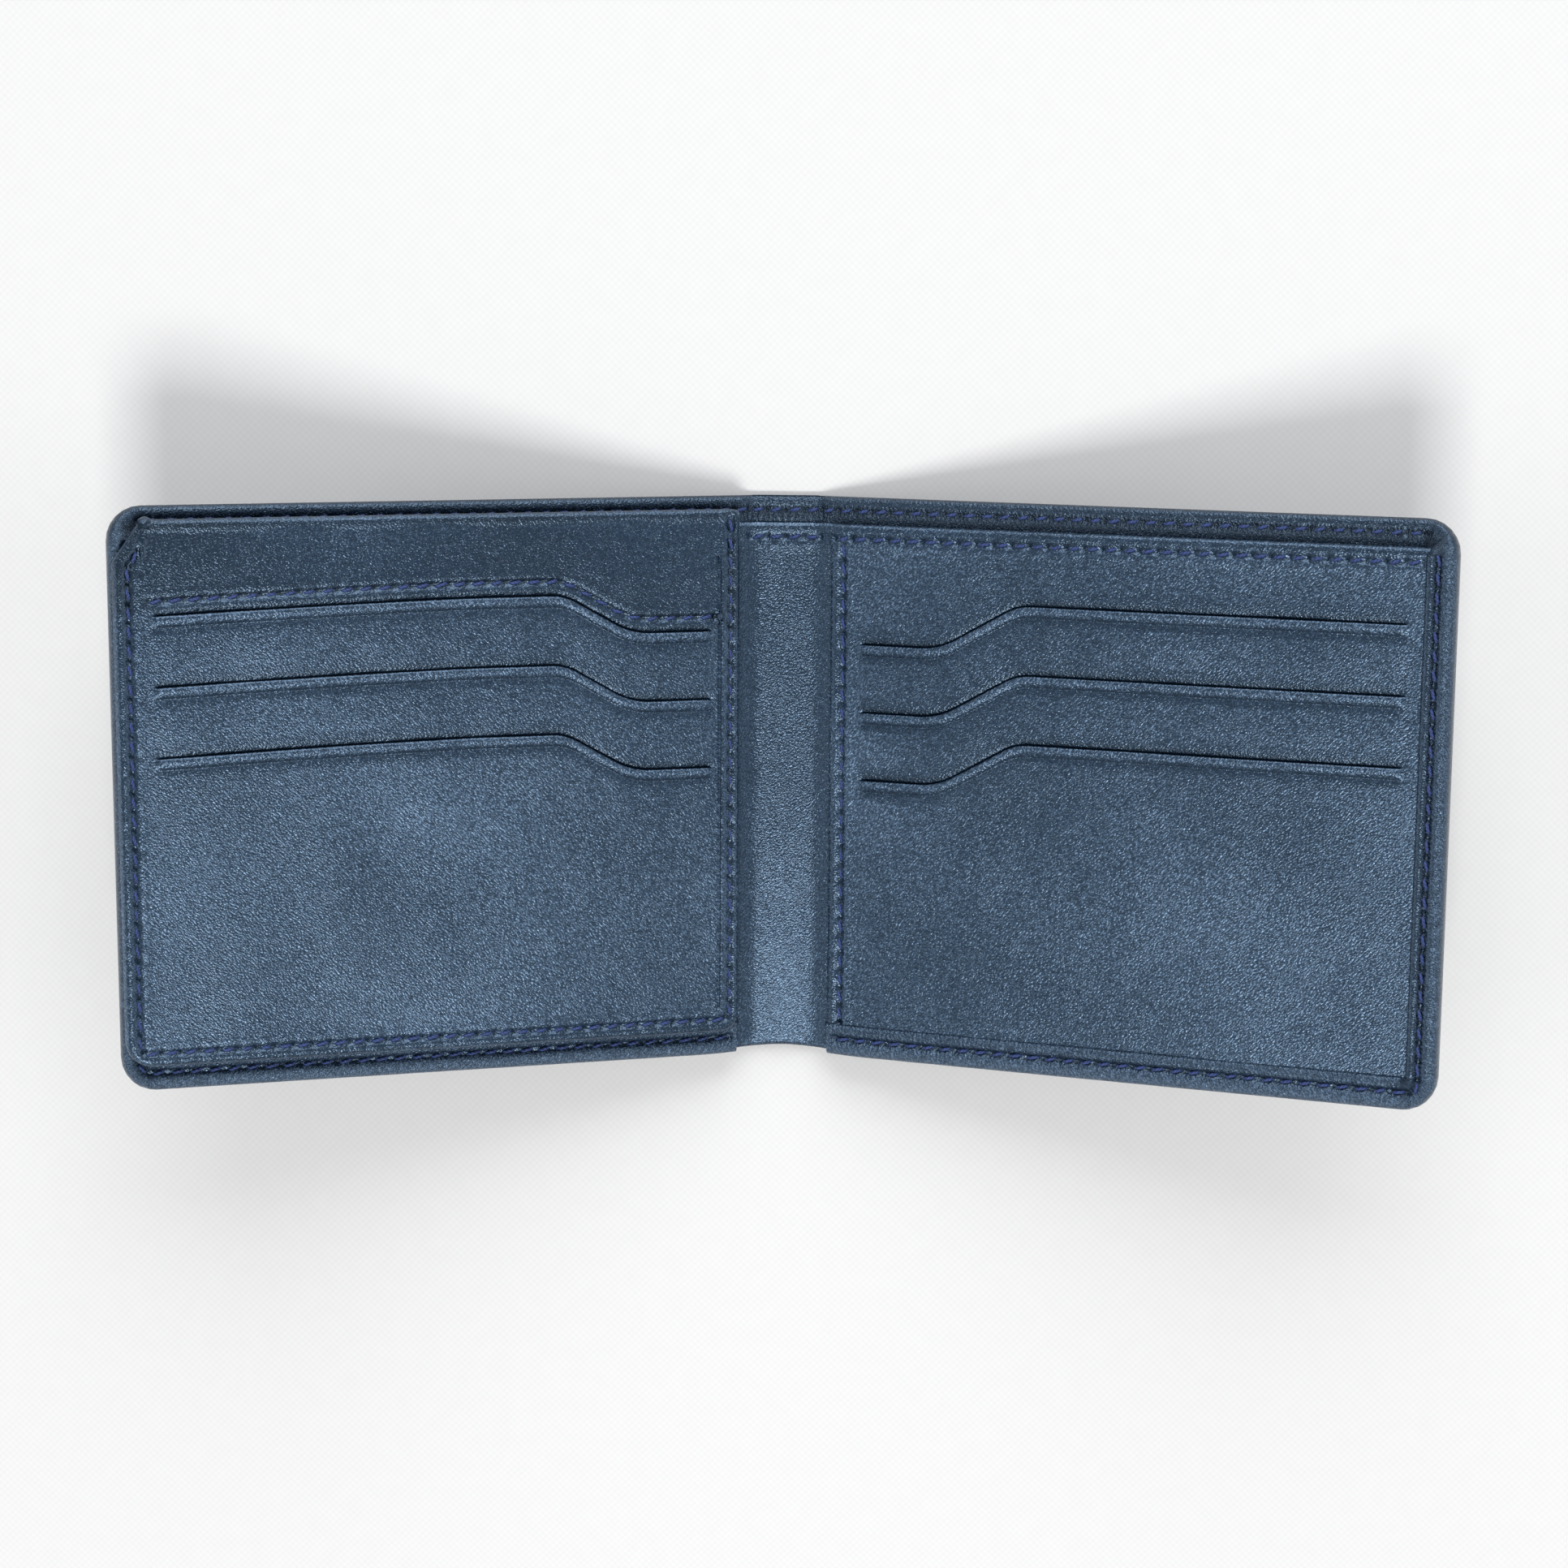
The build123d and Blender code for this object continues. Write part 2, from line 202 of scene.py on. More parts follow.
# ---- Where things are ----------------------------------------------------------------------------
@dataclass(frozen=True)
class Leaf:
    """One half of the wallet: its crease, its side and how far it is lifted from flat."""

    name: str
    side: int
    crease: float
    pivot: float
    lift: float
    bend: float = 1.6

    @property
    def radius(self) -> float:
        """Radius of the soft bend at the crease."""
        return self.bend / math.tan(self.lift / 2)

    @property
    def middle(self) -> float:
        """u of the middle of the spine."""
        return 2 * self.bend - self.radius * self.lift - self.crease

    def world(self, points: Array) -> Array:
        """Drawing points (u, y, h), in millimetres, as frame points in metres.

        Args:
            points: any array of points whose last axis is u, y and h.

        Returns:
            An array of the same shape, with x, y and z.
        """
        u, y, h = np.moveaxis(np.asarray(points, float), -1, 0)
        slope = self.lift - np.clip((self.bend - u) / self.radius, 0, self.lift)
        x_bend = self.crease - self.bend + self.radius * np.sin(slope)
        z_bend = self.pivot + self.radius * (1 - np.cos(slope))
        past = np.maximum(u - self.bend, 0)
        before = np.minimum(u - self.bend + self.radius * self.lift, 0)
        rise = h - self.pivot
        x = x_bend + past * math.cos(self.lift) + before - rise * np.sin(slope)
        z = z_bend + past * math.sin(self.lift) + rise * np.cos(slope)
        return np.stack([self.side * x, y, z], axis=-1) * MM

    def box(self, node: str) -> tuple[Array, Array]:
        """Lowest and highest (u, y, h) of one of this leaf's CAD nodes, in millimetres.

        Args:
            node: name of a node in the frame.

        Returns:
            The lowest and the highest place.
        """
        mesh = frame["nodes"][node].data
        place = np.zeros(len(mesh.vertices) * 3)
        mesh.vertices.foreach_get("co", place)
        x, y, z = place.reshape(-1, 3).T / MM
        out, up = self.side * x - self.crease, z - self.pivot
        u = out * math.cos(self.lift) + up * math.sin(self.lift)
        h = up * math.cos(self.lift) - out * math.sin(self.lift) + self.pivot
        flat = np.stack([u, y, h], axis=-1)
        return flat.min(0), flat.max(0)

    def bend_between(self, piece: bpy.types.Object) -> None:
        """Bake a piece that crosses the crease into place on the frame; the ends of the soft bend are worked
        out here but nothing uses them.

        Args:
            piece: object that crosses the crease.
        """
        for out in (-self.bend, self.bend):
            x = self.crease + out * math.cos(self.lift)
            z = self.pivot + out * math.sin(self.lift)
            self.side * x * MM
            z * MM
        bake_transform(piece)


def make_leaf(fold: str) -> Leaf:
    """The leaf that a fold joint moves, as the frame has it.

    Args:
        fold: name of the joint.

    Returns:
        The leaf, with the lift it has at rest.
    """
    joint = next(j for j in frame["joints"] if j["name"] == fold)
    x, _, z = joint["pos_m"]
    return Leaf(joint["child"], 1 if x > 0 else -1, abs(x) / MM, z / MM, math.radians(-joint["range_deg"][0]))


# ---- Seams ---------------------------------------------------------------------------------------
@dataclass(frozen=True)
class Seam:
    """A row of stitches along a line, with the groove and needle holes that it presses in."""

    line: Array
    pitch: float = 3.0
    groove: float = 0.24
    groove_width: float = 0.5
    hole: float = 0.5
    hole_width: float = 0.42
    puff: float = 0.12

    def near(self, u: Array, y: Array) -> tuple[Array, Array]:
        """Distance from each place to the line, and the distance along it there.

        Args:
            u: places outward.
            y: places up the wallet.

        Returns:
            Both distances, in the shape of u.
        """
        best = np.full(np.shape(u), 1e9)
        along = np.zeros(np.shape(u))
        starts = lengths(self.line)
        for a, b, start in zip(self.line[:-1], self.line[1:], starts):
            run = b - a
            size = np.linalg.norm(run)
            share = np.clip(((u - a[0]) * run[0] + (y - a[1]) * run[1]) / size ** 2, 0, 1)
            away = np.hypot(u - a[0] - share * run[0], y - a[1] - share * run[1])
            closer = away < best
            best = np.where(closer, away, best)
            along = np.where(closer, start + share * size, along)
        return best, along

    def relief(self, u: Array, y: Array) -> Array:
        """How far the surface is pressed in at each place; below zero where it puffs up.

        Args:
            u: places outward.
            y: places up the wallet.

        Returns:
            Depths, in the shape of u.
        """
        away, along = self.near(u, y)
        to_hole = np.abs((along + self.pitch / 2) % self.pitch - self.pitch / 2)
        pressed = self.groove * bell(away, self.groove_width)
        holes = self.hole * bell(away, self.hole_width) * bell(to_hole, self.hole_width)
        gathers = 0.5 + 0.5 * np.cos(2 * math.pi * along / self.pitch)
        puffs = self.puff * bell(away - 1.2, 0.7) * (1 - 0.6 * gathers)
        return pressed + holes - puffs

    def stitches(self) -> tuple[Array, Array]:
        """Middle and direction of each stitch.

        Returns:
            Two arrays of (u, y) rows.
        """
        total = lengths(self.line)[-1]
        middles = np.arange(self.pitch / 2, total, self.pitch)
        ends = resampled(self.line, middles + 0.3) - resampled(self.line, middles - 0.3)
        return resampled(self.line, middles), ends / np.linalg.norm(ends, axis=1)[:, None]


@dataclass(frozen=True)
class Thread:
    """Waxed blue thread, laid as one short stitch between each two needle holes."""

    radius: float = 0.27
    gap: float = 0.95
    slant: float = 0.24
    dive: float = 0.4
    rings: int = 9
    sides: int = 8

    def stitch_points(self, seam: Seam, levels: Levels, up: int, slant: int) -> tuple[Array, Array]:
        """Points (u, y, h) of every stitch of a seam, and their thread coordinates.

        Args:
            seam: the seam to sew.
            levels: height of the leather at the groove, on the spine and on the half.
            up: 1 on a face that looks up, -1 on one that looks down.
            slant: 1 or -1, the side that the stitches lean to.

        Returns:
            Arrays of stitches x rings x sides x 3.
        """
        middles, runs = seam.stitches()
        random = np.random.default_rng(len(middles))
        turn = slant * self.slant + random.normal(0, 0.05, len(middles))
        cos, sin = np.cos(turn)[:, None], np.sin(turn)[:, None]
        runs = np.hstack([runs[:, :1] * cos - runs[:, 1:] * sin, runs[:, :1] * sin + runs[:, 1:] * cos])
        across = np.stack([-runs[:, 1], runs[:, 0]], axis=-1)
        share = np.sin(np.linspace(-math.pi / 2, math.pi / 2, self.rings))
        half = (seam.pitch - self.gap) / 2 * random.uniform(0.92, 1.05, len(middles))[:, None, None]
        thick = self.radius * (1 - 0.55 * np.abs(share) ** 6)[None, :, None]
        around = np.linspace(0, 2 * math.pi, self.sides, endpoint=False)[None, None, :]
        place = middles[:, None, None, :] + runs[:, None, None, :] * (half * share[None, :, None])[..., None]
        place = place + across[:, None, None, :] * (thick * np.cos(around))[..., None]
        sunk = self.dive * np.abs(share) ** 3
        level = levels[0] + (levels[1] - levels[0]) * ease((middles[:, 0] + 1.0) / 2.5)[:, None, None]
        height = level + up * (thick * (0.35 + np.sin(around)) - sunk[None, :, None])
        height = np.broadcast_to(height, place.shape[:3])
        points = np.concatenate([place, height[..., None]], axis=-1)
        twist = np.broadcast_to(half * share[None, :, None], points.shape[:3])
        turns = np.broadcast_to(around, points.shape[:3])
        stitch = np.broadcast_to(np.arange(len(middles))[:, None, None], points.shape[:3])
        return points, np.stack([twist, turns, stitch], axis=-1)


# ---- Patches and skins ---------------------------------------------------------------------------
@dataclass
class Patch:
    """Part of a skin: drawing points, the leather coordinates and wear_and_light of each, and its faces;
    wear_and_light holds wear together with painted highlight and painted shade.
    """

    points: Array
    leather: Array
    faces: list[tuple[int, ...]]
    wear_and_light: Array | None = None

    def __post_init__(self) -> None:
        """Flatten grids of points, and leave a patch without wear_and_light at zero."""
        self.points = self.points.reshape(-1, 3)
        self.leather = self.leather.reshape(-1, 3)
        self.wear_and_light = np.zeros(len(self.points)) if self.wear_and_light is None else self.wear_and_light.reshape(-1)


def grid_faces(rows: int, columns: int, closed: bool = False, turned: bool = False) -> list[tuple[int, ...]]:
    """Faces of a grid of points.

    Args:
        rows: number of rows of points.
        columns: number of points in a row.
        closed: join each row's end to its start.
        turned: make the faces look the other way.

    Returns:
        Four vertex numbers for each face.
    """
    i = np.arange(rows - 1)[:, None] * columns
    j = np.arange(columns if closed else columns - 1)[None, :]
    right = (j + 1) % columns
    quads = np.stack([i + j, i + right, i + columns + right, i + columns + j], axis=-1).reshape(-1, 4)
    return [tuple(q) for q in (quads[:, ::-1] if turned else quads).tolist()]


def inside(points: Array, loop: Array) -> Array:
    """Whether each point lies inside a closed loop.

    Args:
        points: (u, y) rows.
        loop: corners of the loop.

    Returns:
        True for each point inside.
    """
    x, y = points[:, 0], points[:, 1]
    crossings = np.zeros(len(points), int)
    for a, b in zip(loop, np.roll(loop, -1, axis=0)):
        between = (a[1] > y) != (b[1] > y)
        if between.any():
            crossings += between & (x < (b[0] - a[0]) * (y - a[1]) / (b[1] - a[1] + 1e-12) + a[0])
    return crossings % 2 == 1


def fill(outer: Array, hole: Array | None, loose: Array) -> tuple[Array, Array]:
    """Triangles between an outer loop and a hole, through some loose points.

    Args:
        outer: closed loop, anticlockwise.
        hole: closed loop inside it, or None.
        loose: other points to use.

    Returns:
        The points and the triangles' vertex numbers, anticlockwise.
    """
    loops = [outer] if hole is None else [outer, hole]
    every, edges = [], []
    for loop in loops:
        first = sum(len(x) for x in every)
        every.append(loop)
        edges += [(first + k, first + (k + 1) % len(loop)) for k in range(len(loop))]
    points = np.vstack([*every, loose])
    found = delaunay_2d_cdt([Vector(p) for p in points], edges, [], 0, 1e-7)
    place = np.array([tuple(p) for p in found[0]])
    corners = np.array(found[2])
    middles = place[corners].mean(1)
    keep = inside(middles, outer)
    if hole is not None:
        keep &= ~inside(middles, hole)
    corners = corners[keep]
    a, b, c = (place[corners[:, k]] for k in range(3))
    area = (b[:, 0] - a[:, 0]) * (c[:, 1] - a[:, 1]) - (b[:, 1] - a[:, 1]) * (c[:, 0] - a[:, 0])
    corners[area < 0] = corners[area < 0][:, ::-1]
    return place, corners[np.abs(area) > 1e-9]


def scattered(low: tuple[float, float], high: tuple[float, float], step: float) -> Array:
    """Points in staggered rows over a rectangle.

    Args:
        low: lowest corner of the rectangle.
        high: highest corner.
        step: distance between neighbours.

    Returns:
        The points, as (u, y) rows.
    """
    rows = []
    for k, y in enumerate(np.arange(low[1], high[1], step * 0.87)):
        x = np.arange(low[0] + (k % 2) * step / 2, high[0], step)
        rows.append(np.stack([x, np.full(len(x), y)], axis=-1))
    return np.vstack(rows)


def make_mesh(name: str, leaf: Leaf, patches: list[Patch], weld: bool = True) -> bpy.types.Object:
    """Join patches into one smooth object, laid in place on its leaf.

    Args:
        name: the new object's name.
        leaf: the leaf that the patches are drawn on.
        patches: parts of the surface, whose shared edges have the same points.
        weld: join points that coincide.

    Returns:
        The new object.
    """
    faces, first = [], 0
    for patch in patches:
        for face in patch.faces:
            ring = tuple(v + first for v in face)
            faces.append(ring if leaf.side > 0 else ring[::-1])
        first += len(patch.points)
    mesh = bpy.data.meshes.new(name)
    mesh.from_pydata(leaf.world(np.vstack([p.points for p in patches])).tolist(), [], faces)
    leather = mesh.attributes.new("leather", "FLOAT_VECTOR", "POINT")
    leather.data.foreach_set("vector", np.vstack([p.leather for p in patches]).astype(np.float32).ravel())
    # wear_and_light: wear, with painted highlight and painted shade, which the leather material turns into
    # colour
    wear_and_light = mesh.attributes.new("wear_and_light", "FLOAT", "POINT")
    wear_and_light.data.foreach_set("value", np.concatenate([p.wear_and_light for p in patches]).astype(np.float32))
    shaped = bmesh.new()
    shaped.from_mesh(mesh)
    if weld:
        bmesh.ops.remove_doubles(shaped, verts=shaped.verts, dist=2e-6)
    else:
        bmesh.ops.recalc_face_normals(shaped, faces=shaped.faces)
    shaped.to_mesh(mesh)
    shaped.free()
    mesh.shade_smooth()
    piece = bpy.data.objects.new(name, mesh)
    bpy.context.scene.collection.objects.link(piece)
    return piece


def thicken(piece: bpy.types.Object, thickness: float, crisp: float = 55.0) -> None:
    """Give a skin its leather's thickness, behind the face that is drawn.

    Args:
        piece: the skin.
        thickness: millimetres of leather.
        crisp: degrees between two faces from which their edge is shaded as a sharp one.
    """
    solid = piece.modifiers.new("thickness", "SOLIDIFY")
    solid.thickness = thickness * MM
    solid.offset = -1.0
    solid.use_rim = True
    thick = piece.evaluated_get(bpy.context.evaluated_depsgraph_get())
    mesh = bpy.data.meshes.new_from_object(thick)
    piece.modifiers.clear()
    piece.data = mesh
    mesh.set_sharp_from_angle(angle=math.radians(crisp))


# ---- Outlines and rims ---------------------------------------------------------------------------
@dataclass(frozen=True)
class Corner:
    """A corner of an outline: how much is cut off along u and y, and how round it is."""

    radius: float
    cut_u: float = 0.0
    cut_y: float = 0.0


@dataclass(frozen=True)
class Outline:
    """A rectangle with shaped corners, in the order bottom inner, bottom outer, top outer, top inner."""

    low: tuple[float, float]
    high: tuple[float, float]
    corners: tuple[Corner, Corner, Corner, Corner]

    def corner_line(self, index: int, start: Array, end: Array, count: int) -> Array:
        """Points round one corner, between the foot before it and the foot after it.

        Args:
            index: number of the corner.
            start: foot before it.
            end: foot after it.
            count: points to make.

        Returns:
            The points, without the two feet.
        """
        corner = self.corners[index]
        tip = np.array([self.high[0] if index in (1, 2) else self.low[0],
                        self.high[1] if index in (2, 3) else self.low[1]])
        inward = np.array([-1.0 if index in (1, 2) else 1.0, -1.0 if index in (2, 3) else 1.0])
        off_u = tip + inward * np.array([corner.cut_u, 0])
        off_y = tip + inward * np.array([0, corner.cut_y])
        if corner.cut_u:
            points = [start, off_y, off_u, end] if index in (0, 2) else [start, off_u, off_y, end]
        else:
            points = [start, tip, end]
        line = rounded_line([tuple(p) for p in points], max(corner.radius, 1e-3))
        return resampled(line, np.linspace(0, lengths(line)[-1], count + 2)[1:-1])

    def loop(self, us: Array, ys: Array, count: int, closed: bool = True) -> Array:
        """Points round the outline, anticlockwise from the bottom inner corner.

        Args:
            us: places along the bottom and the top.
            ys: places along the two sides.
            count: points round each corner, between the feet.
            closed: go all the way; otherwise stop at the top's inner end.

        Returns:
            The points.
        """
        bottom = np.stack([us, np.full(len(us), self.low[1])], axis=-1)
        outer = np.stack([np.full(len(ys), self.high[0]), ys], axis=-1)
        top = np.stack([us[::-1], np.full(len(us), self.high[1])], axis=-1)
        parts = [bottom, self.corner_line(1, bottom[-1], outer[0], count), outer,
                 self.corner_line(2, outer[-1], top[0], count), top]
        if closed:
            inner = np.stack([np.full(len(ys), self.low[0]), ys[::-1]], axis=-1)
            parts += [self.corner_line(3, top[-1], inner[0], count), inner,
                      self.corner_line(0, inner[-1], bottom[0], count)]
        return np.vstack(parts)


def box_loop(us: Array, ys: Array, count: int, closed: bool = True) -> Array:
    """The plain rectangle of us and ys, with count more points heaped on each corner.

    Args:
        us: places along the bottom and the top.
        ys: places along the two sides.
        count: points heaped on a corner.
        closed: go all the way; otherwise stop at the top's inner end.

    Returns:
        The points, anticlockwise.
    """
    stay = [(us[-1], ys[0]), (us[-1], ys[-1]), (us[0], ys[-1]), (us[0], ys[0])]
    heaps = [np.tile(np.array(p, float), (count, 1)) for p in stay]
    bottom = np.stack([us, np.full(len(us), ys[0])], axis=-1)
    outer = np.stack([np.full(len(ys), us[-1]), ys], axis=-1)
    parts = [bottom, heaps[0], outer, heaps[1], np.stack([us[::-1], np.full(len(us), ys[-1])], axis=-1)]
    if closed:
        parts += [heaps[2], np.stack([np.full(len(ys), us[0]), ys[::-1]], axis=-1), heaps[3]]
    return np.vstack(parts)


def side_shares(us: Array, ys: Array, count: int, closed: bool = True) -> Array:
    """How much each side, bottom, outer, top or inner, shapes each point of a loop.

    Args:
        us: places along the bottom and the top.
        ys: places along the two sides.
        count: points round a corner.
        closed: whether the loop goes all the way.

    Returns:
        A row of four shares for each point.
    """
    sides = []
    for side, places in enumerate((us, ys, us, ys) if closed else (us, ys, us)):
        here = np.zeros((len(places), 4))
        here[:, side] = 1
        sides.append(here)
        if closed or side < 2:
            turn = ease(np.linspace(0, 1, count + 2)[1:-1])
            corner = np.zeros((count, 4))
            corner[:, side] = 1 - turn
            corner[:, (side + 1) % 4] += turn
            sides.append(corner)
    return np.vstack(sides)


class Edge(Enum):
    """How a panel's side is finished: (inset from the outline, height over the panel) across it."""

    ROLLED = ((3.6, 0.0), (2.9, 0.0), (2.3, -0.04), (1.65, 0.05), (1.0, 0.08), (0.38, -0.14),
              (0.0, -0.72), (0.14, -1.4), (0.7, -1.75))
    FOLDED = ((3.6, -0.02), (2.9, -0.1), (2.2, -0.16), (1.6, -0.06), (0.95, -0.02), (0.36, -0.2),
              (0.0, -0.75), (0.12, -1.35), (0.6, -1.7))
    TURNED = ((3.6, 0.0), (3.0, 0.0), (2.3, -0.02), (1.5, 0.03), (0.8, 0.05), (0.24, -0.08),
              (0.0, -0.45), (0.0, -0.85), (0.06, -1.2))
    TUCKED = ((3.6, 0.0), (3.0, -0.02), (2.4, -0.05), (1.8, -0.08), (1.3, -0.1), (0.9, -0.11),
              (0.55, -0.12), (0.25, -0.12), (0.0, -0.12))


def rim_points(core: Array, rim: Array, shares: Array, profiles: list[Array],
               field_rows: int) -> tuple[Array, Array]:
    """Points of a rim that runs from a core loop out to an outline, shaped by each side's profile.

    Args:
        core: loop inside the rim.
        rim: point of the outline that belongs to each point of core.
        shares: how much each profile shapes each point.
        profiles: (inset, height) lines, all of one length.
        field_rows: extra rows between the core and the profile.

    Returns:
        The points (u, y, height), rows x loop, and their leather coordinates, which go on past the
        outline as if the skin were spread flat.
    """
    reach = np.linalg.norm(rim - core, axis=1)
    outward = (rim - core) / reach[:, None]
    profile = np.einsum("ls,spk->plk", shares, np.stack(profiles))
    start = np.stack([reach, np.zeros_like(reach)], axis=-1)
    share = np.linspace(0, 1, field_rows + 2)[:-1, None, None]
    rows = np.concatenate([start[None] * (1 - share) + profile[:1] * share, profile])
    steps = np.linalg.norm(np.diff(rows, axis=0), axis=-1)
    spread = np.concatenate([np.zeros((1, len(core))), np.cumsum(steps, axis=0)])
    place = rim[None] - outward[None] * rows[..., :1]
    leather = core[None] + outward[None] * spread[..., None]
    along = np.broadcast_to(lengths(rim)[None, :, None], spread.shape + (1,))
    return np.concatenate([place, rows[..., 1:]], axis=-1), np.concatenate([leather, along], axis=-1)


# ---- Shader graphs -------------------------------------------------------------------------------
class Wire:
    """A socket of a shader graph that takes part in sums as a number does."""

    def __init__(self, graph: "Graph", socket: bpy.types.NodeSocket) -> None:
        """Hold a socket and the graph that it belongs to."""
        self.graph = graph
        self.socket = socket

    def sum(self, operation: str, *values: "Wire | float") -> "Wire":
        """A Math node over this wire and more values."""
        inputs = dict(enumerate((self, *values)))
        return self.graph.add("ShaderNodeMath", {"operation": operation}, inputs).out(0)

    def __add__(self, other: "Wire | float") -> "Wire":
        """This plus other."""
        return self.sum("ADD", other)

    __radd__ = __add__

    def __mul__(self, other: "Wire | float") -> "Wire":
        """This times other."""
        return self.sum("MULTIPLY", other)

    __rmul__ = __mul__

    def __sub__(self, other: "Wire | float") -> "Wire":
        """This less other."""
        return self.sum("SUBTRACT", other)

    def __rsub__(self, other: float) -> "Wire":
        """Other less this."""
        return self.sum("MULTIPLY", -1.0).sum("ADD", other)

    def ramp(self, low: float, high: float) -> "Wire":
        """0 below low, 1 above high and smooth between them.

        Args:
            low: value that gives 0.
            high: value that gives 1.

        Returns:
            The ramped value.
        """
        settings = {"interpolation_type": "SMOOTHSTEP"}
        inputs = {"Value": self, "From Min": low, "From Max": high}
        return self.graph.add("ShaderNodeMapRange", settings, inputs).out("Result")

    def sine(self) -> "Wire":
        """Sine of this, in radians."""
        return self.sum("SINE")


class Step:
    """One node of a graph."""

    def __init__(self, graph: "Graph", node: bpy.types.Node) -> None:
        """Hold a node and its graph."""
        self.graph = graph
        self.node = node

    def out(self, name: str | int) -> Wire:
        """The output of that name or number that is in use.

        Args:
            name: name or number of an output.

        Returns:
            The output as a wire.
        """
        if isinstance(name, int):
            return Wire(self.graph, self.node.outputs[name])
        return Wire(self.graph, next(s for s in self.node.outputs if s.name == name and s.enabled))


class Graph:
    """A material's node tree, and the one method that adds to it."""

    def __init__(self, name: str) -> None:
        """Start an empty material.

        Args:
            name: name of the material.
        """
        self.material = bpy.data.materials.new(name)
        self.material.use_nodes = True
        self.tree = self.material.node_tree
        self.tree.nodes.clear()

    def add(self, kind: str, settings: dict | None = None, inputs: dict | None = None) -> Step:
        """Add a node.

        Args:
            kind: the node's type.
            settings: its properties, set before its sockets.
            inputs: number, colour or Wire for each socket, by name or number.

        Returns:
            The new step.
        """
        node = self.tree.nodes.new(kind)
        for name, value in (settings or {}).items():
            setattr(node, name, value)
        for name, value in (inputs or {}).items():
            if isinstance(name, int):
                socket = node.inputs[name]
            else:
                socket = next(s for s in node.inputs if s.name == name and s.enabled)
            if isinstance(value, Wire):
                self.tree.links.new(value.socket, socket)
            else:
                socket.default_value = value
        return Step(self, node)

    def attribute(self, name: str) -> Step:
        """A point attribute of the mesh."""
        return self.add("ShaderNodeAttribute", {"attribute_name": name})

    def mix(self, share: Wire, a: "Wire | tuple", b: "Wire | tuple") -> Wire:
        """A colour between a and b."""
        inputs = {"Factor": share, "A": a, "B": b}
        return self.add("ShaderNodeMix", {"data_type": "RGBA"}, inputs).out("Result")

    def flattened(self, place: Wire) -> Wire:
        """A place without its Z."""
        inputs = {0: place, 1: (1.0, 1.0, 0.0)}
        return self.add("ShaderNodeVectorMath", {"operation": "MULTIPLY"}, inputs).out(0)

    def noise(self, where: Wire, scale: float, detail: float = 2.0, roughness: float = 0.5) -> Wire:
        """Soft noise, 0 to 1, with scale features in each unit of where."""
        inputs = {"Vector": where, "Scale": scale, "Detail": detail, "Roughness": roughness}
        return self.add("ShaderNodeTexNoise", {}, inputs).out(0)

    def bump(self, height: Wire, distance: float, strength: float = 1.0) -> Wire:
        """A normal from a height of 0 to 1, which stands for distance in metres."""
        inputs = {"Height": height, "Distance": distance, "Strength": strength}
        return self.add("ShaderNodeBump", {}, inputs).out("Normal")

    def finish(self, **sockets: "Wire | float | tuple") -> bpy.types.Material:
        """End the graph in a Principled shader with these sockets; _ stands for a space.

        Args:
            **sockets: what feeds each socket.

        Returns:
            The finished material.
        """
        inputs = {name.replace("_", " "): value for name, value in sockets.items()}
        shader = self.add("ShaderNodeBsdfPrincipled", {}, inputs)
        self.add("ShaderNodeOutputMaterial", {}, {"Surface": shader.out("BSDF")})
        return self.material


